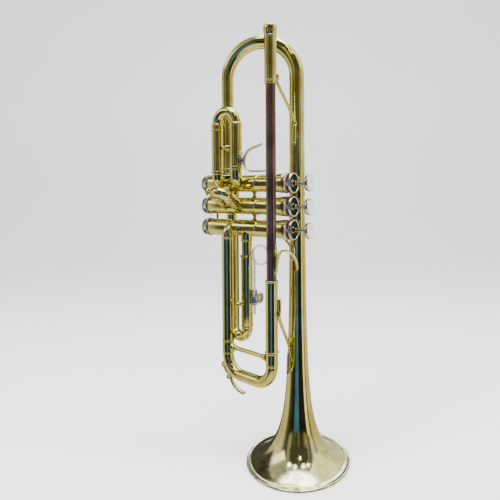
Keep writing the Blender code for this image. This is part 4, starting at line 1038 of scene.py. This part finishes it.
for i in (0, 1):
    # two flared cups back to back with a bead at the waist
    middle_z = (VALVE_Z[i + 1] + VALVE_Z[i]) / 2
    profile = []
    for k in range(41):
        out = -5.0 + 10.0 * k / 40
        radius = 1.5 + 2.3 * (min(abs(out), 3.8) / 3.3) ** 1.7
        if abs(out) < 1.1:
            radius = max(radius, 2.35 * math.cos(out / 1.1 * math.pi / 2) ** 0.5)
        profile.append((radius, middle_z + out))
    profile = [(0, profile[0][1])] + profile + [(0, profile[-1][1])]
    post = combine(
        lathe(profile, (-44.0, VALVE_Y, 0), segs=48),
        cut(valve_core(i + 1, CASING_R + 0.01), valve_core(i, CASING_R + 0.01)),
    )
    node = f"casing_brace_{i + 1}{i + 2}"
    make("ornamental_" + node, node, post, brass)

ENDS = ("lower", "upper")

# ---- first valve slide: moves up ------------------------------------------------
FIRST_ELBOW_R = 9.0
for end, x, ring_z in zip(ENDS, FIRST_X, FIRST_Z):
    elbow = [Vector((x, VALVE_Y - 3.0, VALVE_Z[0]))]
    elbow_centre = (x, FIRST_Y + FIRST_ELBOW_R, VALVE_Z[0] + FIRST_ELBOW_R)
    elbow += arc(elbow_centre, DOWN, (0, -1, 0), 90, FIRST_ELBOW_R, 20)
    rows = [(6.5, ring_z - 2.0)] + bead(ring_z - 1.9, ring_z - 0.7, 6.5, 7.0)
    rows += [(6.0, ring_z - 0.6), (6.0, 360), (6.0, 388.0)]
    stations = [(point, 6.5, 5.5) for point in elbow] + upright((x, FIRST_Y), rows, 5.5)
    port = combine(tube(stations, 64), cut(valve_core(0, 9.2, -100, -50)))
    make("first_port_tube_" + end, "first_slide_port_" + end, port, brass)


def first_leg(x, z0, rings):
    base = (x, FIRST_Y)
    sleeve = [(6.6, z0)] + band(z0, z0 + 2.4, 6.6, 7.5)[1:-1]
    sleeve += [(6.85, z0 + 2.5), (6.8, z0 + 3.2), (6.8, rings[0] - 0.6)]
    stations = upright(base, sleeve, 6.3)
    for ring in rings:
        for radius, z in [(6.8, ring - 0.4)] + bead(ring - 0.3, ring + 1.5, 6.8, 7.35):
            stations.append((at(base, z), radius, 6.3 if z < 386 else 5.4))
    return stations + upright(base, [(6.1, FIRST_BEND_Z + 1.2)], 5.4)


first_middle = ((FIRST_X[0] + FIRST_X[1]) / 2, FIRST_Y, FIRST_BEND_Z + 1.5)
first_slide = u_bend(
    first_leg(FIRST_X[0], FIRST_Z[0], [385.6, 391.6]),
    first_leg(FIRST_X[1], FIRST_Z[1], [391.6]),
    arc(first_middle, (-1, 0, 0), UP, 180, (FIRST_X[1] - FIRST_X[0]) / 2, 44),
    6.0, 5.3,
)
make("first_slide_tubes", "first_slide", first_slide, brass)

post_x = FIRST_X[0] + 6.75
post_length = FIRST_X[1] - 6.75 - post_x
half_post = [
    (0, 0), (3.1, 0.1), (3.3, 0.5), (3.1, 1.0), (2.3, 1.5), (1.7, 2.1), (1.6, 2.6),
    (1.9, 2.9), (1.9, 3.2), (1.6, 3.4),
]
for degrees in range(32, 91, 8):  # half of the ball in the middle
    u, v = circle(math.radians(degrees))
    half_post.append((3.45 * v, post_length / 2 - 3.1 * u))
post = combine(
    lathe(mirrored(half_post, post_length), (post_x, FIRST_Y, 365.5), "X", 48),
    cut(*[upright_rod((x, FIRST_Y), 355, 375, 6.79) for x in FIRST_X]),
)
make("first_slide_post", "first_slide_brace", post, brass)

# thumb saddle strip: x, z, half width
THUMB_SADDLE = (
    (-24.5, 368.2, 2.0), (-27.5, 366.3, 2.7), (-33.0, 365.0, 3.0), (-39.5, 362.7, 3.0),
    (-44.6, 358.8, 2.8), (-47.6, 353.5, 2.6), (-48.2, 348.0, 2.5), (-46.6, 342.8, 2.5),
    (-42.4, 339.2, 2.6), (-36.5, 337.9, 2.7), (-27.0, 337.8, 2.6), (-16.6, 338.0, 2.2),
)


def strip(table, y, per_span, squash):
    """A flat strip with its width along Y through (x, z, half width) stations."""
    line = smooth([Vector((x, y, z)) for x, z, _ in table], per_span)
    widths = spread([width for _, _, width in table], len(line))
    return round_rod(line, widths, 32, squash, 0.85, normal=AXIS_Y)


saddle_neck = [(x, FIRST_Y, z) for x, z in ((-52.6, 351.0), (-50.4, 351.0), (-48.0, 350.6))]
saddle = combine(
    patch((FIRST_X[1], FIRST_Y), 6.8, AXIS_X, 343.6, 361.4, oval(4.4, 2.2, tip=0.2), 1.3),
    add(
        sweep(saddle_neck, [3.2, 2.2, 2.9], None, 32, (1.5, 0.62)),
        strip(THUMB_SADDLE, FIRST_Y, 8, (1.0, 0.40)),
    ),
)
make("thumb_hook", "thumb_saddle", saddle, nickel)

# ---- second valve slide: moves out and up ---------------------------------------
second_bases = [
    Vector((x, VALVE_Y, VALVE_Z[1])) + SECOND_UP * offset
    for x, offset in zip(SECOND_X, SECOND_OFFSET)
]


def second_stations(base, rows, bore):
    return [(base + SECOND_DIR * out, radius, bore) for radius, out in rows]


port_rows = [(6.3, 3.0), (6.3, 14), (6.3, SECOND_LENGTH - 2.4)]
port_rows += bead(SECOND_LENGTH - 2.3, SECOND_LENGTH - 0.7, 6.3, 7.15)
port_rows += [(6.6, SECOND_LENGTH - 0.5), (6.5, SECOND_LENGTH - 0.1), (6.1, SECOND_LENGTH)]
for end, base in zip(ENDS, second_bases):
    port = tube(second_stations(base, port_rows, 5.6), 64)
    port = combine(port, cut(valve_core(1, 9.2, -100, -45)))
    make("second_port_tube_" + end, "second_slide_port_" + end, port, brass)

leg_rows = [(5.25, 11.5), (5.25, SECOND_LENGTH + 0.2)]
leg_rows += bead(SECOND_LENGTH + 0.3, SECOND_LENGTH + 2.4, 5.9, 6.75)
leg_rows += [(5.85, SECOND_LENGTH + 2.5)]
second_legs = [second_stations(base, leg_rows, 4.8) for base in second_bases]
second_span = second_bases[1] - second_bases[0]
second_across, second_half = second_span.normalized(), second_span.length / 2
second_middle = (second_bases[0] + second_bases[1]) / 2 + SECOND_DIR * (SECOND_LENGTH + 2.7)
second_turn = arc(second_middle, -second_across, SECOND_DIR, 180, second_half, 40)
make("second_slide_tubes", "second_slide", u_bend(*second_legs, second_turn, 5.8, 4.8), brass)

knob_dir = -second_across * math.cos(KNOB_TURN) + SECOND_DIR * math.sin(KNOB_TURN)
knob = [
    (0, -0.3), (2.5, -0.3), (2.6, 0.2), (2.3, 0.7), (1.6, 1.2), (1.35, 1.8), (1.35, 2.3),
    (1.7, 2.6), (2.7, 2.85), (3.5, 3.1), (3.95, 3.5), (4.1, 4.0), (4.0, 4.5), (3.5, 4.95),
    (2.4, 5.25), (1.2, 5.4), (0, 5.45),
]
knob = lathe(knob, second_middle + knob_dir * (second_half + 5.8), knob_dir, segs=56)
make("second_slide_pull", "second_slide_knob", knob, brass)

# ---- third valve slide: moves down ----------------------------------------------
rows = [(6.6, VALVE_Z[2] - 5.5), (6.6, 259.4)] + bead(259.2, 257.4, 6.6, 7.1)
rows += [(6.0, 257.3), (6.0, 220), (6.0, 172.0)]
for end, base in zip(ENDS, (THIRD_LOWER, THIRD_UPPER)):
    port = combine(tube(upright(base, rows, 5.5), 64), cut(valve_core(2, 9.2, -100, -40)))
    make("third_port_tube_" + end, "third_slide_port_" + end, port, brass)


def third_leg(base):
    sleeve = [(6.6, THIRD_SLEEVE_Z)]
    sleeve += band(THIRD_SLEEVE_Z - 2.4, THIRD_SLEEVE_Z, 6.85, 7.5)[::-1][1:]
    sleeve += [(6.8, 238.0), (6.8, 200), (6.8, THIRD_BEND_Z + 2.6)]
    ring = bead(THIRD_BEND_Z + 2.3, THIRD_BEND_Z + 0.5, 6.7, 7.2)
    ring += [(6.45, THIRD_BEND_Z + 0.3)]
    return upright(base, sleeve, 6.3) + upright(base, ring, 5.5)


third_span = THIRD_UPPER - THIRD_LOWER
third_middle = at((THIRD_UPPER + THIRD_LOWER) / 2, THIRD_BEND_Z)
third_turn = arc(third_middle, -third_span.normalized(), DOWN, 180, third_span.length / 2, 44)
third_slide = u_bend(third_leg(THIRD_LOWER), third_leg(THIRD_UPPER), third_turn, 6.3, 5.5)
make("third_slide_tubes", "third_slide", third_slide, brass)

# stop rod, its foot on the casing, its nut and the guide it slides through
foot_y = (STOP_ROD.y + VALVE_Y - 8.0) / 2 - 0.3
foot = slab(
    Vector((STOP_ROD.x - 1.0, foot_y, VALVE_Z[2] - 2.5)),
    (UP, AXIS_X, AXIS_Y),
    (8.6, 1.6, abs(STOP_ROD.y - VALVE_Y + 8.0) + 1.4),
)
rod_length = STOP_ROD_TOP_Z - STOP_NUT_Z - 1.5
rod_points = [at(STOP_ROD, STOP_ROD_TOP_Z - rod_length * k / 14) for k in range(15)]
stop_rod = combine(
    round_rod(rod_points, 1.1, 24, caps=(True, False)),
    add(foot) + cut(valve_core(2, CASING_R + 0.01, -75, -45)),
)
make("stop_rod", "third_slide_stop_rod", stop_rod, brass, bevel=0.2)

nut = [(0, -4.2)]
for degrees in range(10, 161, 8):
    u, v = circle(math.radians(degrees))
    nut.append((4.2 * v, -4.2 * u))
nut += [(1.35, 3.8), (1.3, 1.5), (0, 1.3)]
nut = lathe(nut, at(STOP_ROD, STOP_NUT_Z), segs=48)
make("stop_nut", "third_slide_stop_nut", nut, brass)

to_sleeve = (THIRD_UPPER - STOP_ROD).normalized()
guide = [(1.45, -2.3), (1.6, -2.6), (2.1, -2.7)]
for degrees in range(-60, 61, 10):
    u, v = circle(math.radians(degrees))
    guide.append((1.0 + 2.7 * u, 2.75 * v))
guide += [(2.1, 2.7), (1.6, 2.6), (1.45, 2.3)]
guide_at = at(STOP_ROD, GUIDE_Z)
guide_arm = [guide_at + to_sleeve * 2.4, guide_at + to_sleeve * 3.6]
guide_arm += [at(THIRD_UPPER, GUIDE_Z) - to_sleeve * 6.0]
guide = combine(
    lathe(guide, guide_at, segs=56, loop=True),
    add(sweep(guide_arm, [1.3, 1.2, 2.4], segs=24)) + cut(upright_rod(THIRD_UPPER, 170, 200, 6.79)),
)
make("stop_rod_guide", "third_slide_stop_guide", guide, brass)

# ---- finger ring on the third slide ---------------------------------------------
socket = [
    (0, 184.0), (3.0, 184.0), (3.4, 184.4), (3.4, 185.6), (3.1, 186.0), (3.1, 199.4),
    (3.4, 199.9), (3.4, 201.1), (3.0, 201.5), (0, 201.5),
]
arm_x = (THIRD_UPPER.x + 6.0 + RING_ROD.x - 1.0) / 2
arm_length = RING_ROD.x - 1.0 - THIRD_UPPER.x - 6.0
screw_at = (RING_ROD.x, RING.y, RING_SCREW_Z)
screw_hole = [(RING_ROD.x + out, RING.y, RING_SCREW_Z) for out in (1.0, 8)]
socket = combine(
    lathe(socket, RING_ROD, segs=48),
    add(
        slab(Vector((arm_x, RING.y, 192.75)), (AXIS_X, AXIS_Y, UP), (arm_length, 4.6, 15.5)),
        lathe([(0, 0), (2.5, 0), (2.5, 4.6), (2.2, 5.2), (0, 5.2)], screw_at, "X", 40),
    )
    + cut(
        upright_rod(THIRD_UPPER, 170, 215, 6.79),
        upright_rod(RING_ROD, 180, 210, 1.75, 32),
        sweep(screw_hole, 1.45, segs=32),
    ),
)
make("ring_socket", "finger_ring_socket", socket, nickel, bevel=0.2)

head = [
    (0, 1.9), (1.15, 1.9), (1.15, 5.4), (1.6, 5.6), (2.6, 5.8), (5.0, 6.0), (6.1, 6.3),
]
head += [(6.45, 6.6 + 0.25 * k) for k in range(7)]
head += [
    (6.2, 8.5), (5.7, 8.7), (5.1, 8.6), (4.6, 8.2), (4.4, 7.6), (3.4, 7.3), (0, 7.3),
]
head = lathe(head, screw_at, "X", 192, knurl=(6.55, 8.2, 48, 0.3))
make("ring_thumbscrew_head", "finger_ring_thumbscrew", head, nickel)


def ring_loop():
    """A ring about Y with a squared section, wider along Y than it is thick."""
    steps, section_steps = 96, 20
    mesh = bmesh.new()
    rows = []
    for k in range(steps):
        angle, row = TAU * k / steps, []
        for j in range(section_steps):
            u, v = circle(TAU * j / section_steps, 0.75)
            reach = RING_R - 0.75 + 0.7 * u
            offset = Vector((reach * math.cos(angle), 2.3 * v, reach * math.sin(angle)))
            row.append(mesh.verts.new(RING + offset))
        rows.append(row)
    skin(mesh, rows + rows[:1])
    return closed(mesh)


ROD_FOOT_Z = 173.6
join_z = RING.z - math.sqrt((RING_R - 0.8) ** 2 - (RING_ROD.x - RING.x) ** 2)
rod_rise = join_z - 2.2 - ROD_FOOT_Z
rod_line = [at(RING_ROD, ROD_FOOT_Z + rod_rise * k / 10) for k in range(11)]
rod_line += [at(RING_ROD, join_z + rise) for rise in (-1.2, -0.3, 0.5)]
ring_rod = round_rod(rod_line, [1.4] * 11 + [1.5, 1.8, 2.1], 28, caps=(True, False))
make("hook_ring", "finger_ring", combine(ring_loop(), add(ring_rod)), satin_nickel)


# ---- braces and hook ------------------------------------------------------------
def s_brace(name, node, lead_side, lead_r, lead_z, bell_side, bell_z, radius, plate):
    """A bent rod from the leadpipe line to the bell, with a plate at each foot."""
    lead_side, bell_side = Vector(lead_side).normalized(), Vector(bell_side).normalized()
    start = LEAD + lead_side * (lead_r + radius + 0.1)
    top, low = lead_z
    points = [at(start, z) for z in (top - 1.0, top - (top - low) * 0.5, low)]
    near, far = bell_z
    for k in range(4):
        z = near + (far - near) * k / 3
        points.append(bell_side * (bell_radius(z) + radius + 0.05) + Vector((0, 0, z)))
    line = smooth(points, 12)
    swell = (0.9, 1.05, 1, 0.95, 0.98, 1.05, 1.0)
    rod = round_rod(line, spread([radius * share for share in swell], len(line)), 28)

    def bell_outline(share):
        taper = 1 - max(0.0, share - 0.55) / 0.45 * 0.85
        return plate * (min(1.0, share * 3.2) ** 0.8) * taper + 0.15

    lead_foot = patch(LEAD, lead_r, lead_side, low + 1.0, top + 1.5, oval(plate, 2.5), 1.0)
    bell_foot = patch((0, 0), bell_radius, bell_side, far - 4.0, near - 2.0, bell_outline, 1.2)
    make(name, node, combine(rod, add(lead_foot, bell_foot)), brass)


s_brace(
    "upper_s_brace", "upper_brace", lead_side=(0.52, 0.854, 0), lead_r=6.6,
    lead_z=(441.0, 431.5), bell_side=(0.2, -0.98, 0), bell_z=(396.0, 371.0),
    radius=1.8, plate=3.2,
)
s_brace(
    "lower_s_brace", "lower_brace", lead_side=(0.87, 0.5, 0), lead_r=6.65,
    lead_z=(199.0, 176.0), bell_side=(-0.38, -0.92, 0), bell_z=(138.0, 106.0),
    radius=1.9, plate=3.6,
)

# bell to the third casing
stem_side = Vector((-0.2, -0.98, 0)).normalized()
stem_end = Vector((0, 0.55, -0.835)).normalized() * (CASING_R + 0.9)
stem_end = Vector((-9.0, VALVE_Y, VALVE_Z[2])) + stem_end
stem = [
    stem_side * (bell_radius(z) + 1.6) + Vector((0, 0, z)) for z in (239.0, 244.0, 250.0)
]
stem = smooth(stem + [stem_end], 10)
stem_foot = patch((0, 0), bell_radius, stem_side, 236.0, 256.0, oval(3.4, 2.4), 1.1)
stem_rod = round_rod(stem, spread([1.2, 1.6, 1.5, 1.5, 1.9], len(stem)), 24)
stem_brace = combine(stem_rod, add(stem_foot))
make("stem_to_casing_brace", "bell_to_valve_brace", stem_brace, brass)

# little finger hook on the leadpipe: x, z, half width
FINGER_HOOK = (
    (-0.4, 229.0, 1.6), (-0.2, 236.0, 2.6), (0.9, 243.5, 3.1), (3.2, 249.2, 3.1),
    (7.2, 252.3, 3.1), (12.2, 251.9, 3.1), (17.6, 249.0, 3.1), (21.6, 244.4, 3.0),
    (23.6, 239.0, 2.8), (24.0, 233.4, 2.3),
)
hook = combine(
    strip(FINGER_HOOK, LEAD.y, 9, (1.0, 0.36)),
    add(patch(LEAD, 5.5, AXIS_X, 224.5, 258.0, oval(3.0, 3, 0.7), 1.0)),
)
make("little_finger_hook", "finger_hook", hook, brass)

# ---- view and floor, in metres --------------------------------------------------
YAW = 0.497
PITCH = 0.029
ROLL = -0.004


def studio_floor():
    """A floor that curves up into a wall, square to the view."""
    far, curve_r = 2.2, 0.8
    line = [(-3.0, 0.0), (-1.0, 0.0), (0.0, 0.0), (far - curve_r, 0.0)]
    for degrees in range(6, 91, 6):
        u, v = circle(math.radians(degrees))
        line.append((far - curve_r + curve_r * v, curve_r - curve_r * u))
    line += [(far, 2.0), (far, 3.2)]
    turn = Matrix.Rotation(YAW, 4, "Z")
    columns = (-4.0, -2.0, -1.0, 0.0, 1.0, 2.0, 4.0)
    mesh = bmesh.new()
    rows = [[mesh.verts.new(turn @ Vector((x, y, z))) for x in columns] for y, z in line]
    skin(mesh, rows, wrap=False)
    floor = place_mesh("studio_floor", mesh)
    nodes = Nodes(bpy.data.materials.new("studio_paper"))
    where = nodes.coords()
    grain = nodes.noise(where, scale=900.0)
    broad = nodes.noise(where, scale=2.2, detail=2.0, roughness=0.5)
    greys = [(0.3, (0.91, 0.91, 0.905)), (0.7, (0.94, 0.94, 0.935))]
    nodes.shader({
        "Base Color": nodes.ramp(broad, greys), "Roughness": 0.75,
        "Emission Color": (1.0, 1.0, 1.0, 1.0), "Emission Strength": 0.38,
        "Normal": nodes.bump(grain, strength=0.15, distance=0.0002),
    })
    floor.data.materials.append(nodes.owner)
    floor.data.shade_smooth()
    floor.visible_glossy = False


studio_floor()


# ---- lights: one on the left of the view, one on the right, one overhead --------
def softbox(name, spot, size, power):
    data = bpy.data.lights.new(name, "AREA")
    data.shape = "RECTANGLE"
    data.size, data.size_y = size
    data.energy = power
    made = place(name, data)
    made.location = spot
    made.rotation_mode = "QUATERNION"
    made.rotation_quaternion = (middle - spot).to_track_quat("-Z", "Y")
    made.visible_glossy = False


level = math.cos(PITCH)
forward = Vector((-math.sin(YAW) * level, math.cos(YAW) * level, -math.sin(PITCH)))
right = Vector((math.cos(YAW), math.sin(YAW), 0))
middle = Vector((BELL_AXIS - 0.02, -0.02, 0.26))
left_spot = middle - right * 0.95 - forward * 0.55 + UP * 0.30
right_spot = middle + right * 1.0 - forward * 0.25 + UP * 0.25
softbox("soft_left", left_spot, size=(0.45, 1.5), power=26)
softbox("soft_right", right_spot, size=(0.28, 1.4), power=18)
softbox("soft_top", middle + UP * 1.15 - forward * 0.25, size=(1.1, 0.7), power=30)

# ---- world: the studio that the metal mirrors -----------------------------------
world = bpy.data.worlds.new("studio")
bpy.context.scene.world = world
room = Nodes(world)
room.tree.nodes.clear()
world_output = room.tree.nodes.new("ShaderNodeOutputWorld")
view = room.node("TexCoord", output="Generated")
backward = Vector((-forward.x, -forward.y, 0)).normalized()


def along(direction):
    inputs = {0: view, 1: direction.normalized()}
    return room.node("VectorMath", inputs, "Value", operation="DOT_PRODUCT")


# the angle round, 0 towards the camera and positive to its right, as a share of a turn
turned = room.maths("ARCTAN2", along(right), along(backward))
turned = room.maths("MULTIPLY_ADD", turned, 1 / TAU, 0.5)
high = along(UP)


def turn_share(degrees):
    return 0.5 + degrees / 360


def panorama(stops):
    """Greys or colours at degrees round."""
    return room.ramp(turned, [(turn_share(degrees), value) for degrees, value in stops])


def step(value, low, top):
    return room.remap(value, low, top, interpolation_type="SMOOTHSTEP")


def product(value_a, value_b):
    return room.maths("MULTIPLY", value_a, value_b)


def window(value, rise, full, fall, gone):
    """1 between full and fall, fading to 0 at rise and gone."""
    fade = room.maths("SUBTRACT", 1.0, step(value, fall, gone))
    return product(step(value, rise, full), fade)


def turn_window(*degrees):
    return window(turned, *map(turn_share, degrees))


def solid(*colour):
    output = room.node("RGB")
    output.default_value = (*colour, 1)
    return output


def toward(degrees, z):
    """The direction at an angle round from the camera and a height."""
    angle, flat = math.radians(degrees), math.sqrt(1 - z * z)
    return (backward * math.cos(angle) + right * math.sin(angle)) * flat + UP * z


around = panorama([  # the lowest band
    (-180, 0.06), (-142, 0.05), (-134, (0.60, 0.56, 0.44)), (-110, (0.52, 0.48, 0.36)),
    (-92, 0.62), (-82, 0.50), (-72, 0.10), (-52, 0.030), (-30, (0.012, 0.014, 0.014)),
    (-24, (0.045, 0.130, 0.52)), (2, (0.055, 0.170, 0.72)), (9, (0.012, 0.014, 0.014)),
    (46, 0.018), (52, 0.06), (58, 1.1), (70, 1.1), (75, 0.10), (82, 0.16),
    (88, (0.60, 0.56, 0.42)), (112, (0.62, 0.58, 0.44)), (124, (0.55, 0.52, 0.42)),
    (168, (0.62, 0.58, 0.48)), (176, 0.20), (180, 0.06),
])
upper = panorama([  # above it
    (-180, 0.05), (-142, 0.06), (-126, (0.62, 0.58, 0.46)), (-88, 0.62), (-70, 0.09),
    (-56, 0.07), (-48, 0.30), (-38, 0.26), (-30, 0.06), (-18, 0.10), (-10, 0.030), (0, 0.13),
    (8, 0.11), (14, 0.025), (26, 0.07), (34, 0.24), (46, 0.28), (54, 0.06), (62, 0.30),
    (68, 0.85), (76, 0.60), (84, 0.22), (92, 0.68), (112, (0.72, 0.72, 0.46)),
    (166, (0.76, 0.76, 0.50)), (174, 0.18), (180, 0.05),
])
edge = panorama([  # the height where the ceiling begins
    (-180, 0.56), (-130, 0.48), (-78, 0.40), (-64, 0.40), (-48, 0.93), (58, 0.93),
    (70, 0.46), (90, 0.40), (180, 0.56),
])
ceiling = panorama([
    (-180, (3.0, 3.4, 3.5)), (-150, (2.6, 3.0, 3.1)), (-138, 0.10), (-116, 0.10),
    (-106, 1.2), (-92, (1.7, 1.7, 1.5)), (-62, (1.9, 1.9, 1.7)), (-54, (2.2, 2.4, 2.4)),
    (60, (2.4, 2.7, 2.8)), (68, (1.15, 1.14, 0.74)), (140, (1.05, 1.04, 0.68)),
    (156, (2.6, 3.0, 3.1)), (180, (3.0, 3.4, 3.5)),
])
# lamps: degrees round, height, cosine of the spot's half angle
LAMPS = (
    (-40, 0.80, 0.9975), (-16, 0.86, 0.9984), (8, 0.66, 0.9990), (24, 0.84, 0.9976),
    (44, 0.80, 0.9986),
)
colour = room.mix(step(high, 0.0, 0.10), around, upper)
# a dark area on the camera's side
hollow = product(turn_window(-46, -34, 38, 50), window(high, 0.24, 0.42, 0.72, 0.80))
colour = room.mix(hollow, colour, solid(0.050, 0.058, 0.045))
above_edge = room.maths("SUBTRACT", high, edge)
colour = room.mix(step(above_edge, -0.05, 0.05), colour, ceiling)
# a dark area far round to the left
shade = product(turn_window(-176, -160, -116, -106), window(high, 0.16, 0.26, 0.80, 0.90))
colour = room.mix(shade, colour, solid(0.06, 0.06, 0.05))
# a dim band high on the left
beam = product(turn_window(-112, -104, -54, -44), step(high, 0.60, 0.70))
colour = room.mix(beam, colour, solid(0.34, 0.34, 0.27))
# the brightest panel, right above
colour = room.mix(step(high, 0.915, 0.965), colour, solid(5.0, 5.6, 5.8))
for degrees, z, size in LAMPS:
    spot = step(along(toward(degrees, z)), size - 0.0010, size)
    colour = room.mix(spot, colour, solid(5.0, 5.0, 4.8))
floor_mask = step(product(high, -1.0), 0.46, 0.62)
colour = room.mix(floor_mask, colour, solid(0.78, 0.74, 0.62))
# mirror rays see the studio, all others a plain pale sky
glossy = room.node("Background", {"Color": colour, "Strength": 1.45})
plain = room.node("Background", {"Color": (0.94, 0.95, 0.96, 1), "Strength": 0.86})
is_glossy = room.node("LightPath", output="Is Glossy Ray")
surface = room.node("MixShader", {0: is_glossy, 1: plain, 2: glossy})
room.wire(world_output, {"Surface": surface})

# ---- camera ---------------------------------------------------------------------
lens = bpy.data.cameras.new("camera")
lens.sensor_fit = "HORIZONTAL"
lens.sensor_width = 36.0
lens.lens = 32.422392
lens.shift_x = -0.08282
lens.shift_y = -0.094296
lens.clip_start = 0.02
lens.clip_end = 30
camera = place("camera", lens)
up = right.cross(forward)
camera_right = right * math.cos(ROLL) + up * math.sin(ROLL)
camera_up = up * math.cos(ROLL) - right * math.sin(ROLL)
turn = Matrix((camera_right, camera_up, -forward)).transposed().to_4x4()
spot = Vector((BELL_AXIS + 0.242418, -0.460969, 0.316837))
camera.matrix_world = Matrix.Translation(spot) @ turn
bpy.context.scene.camera = camera
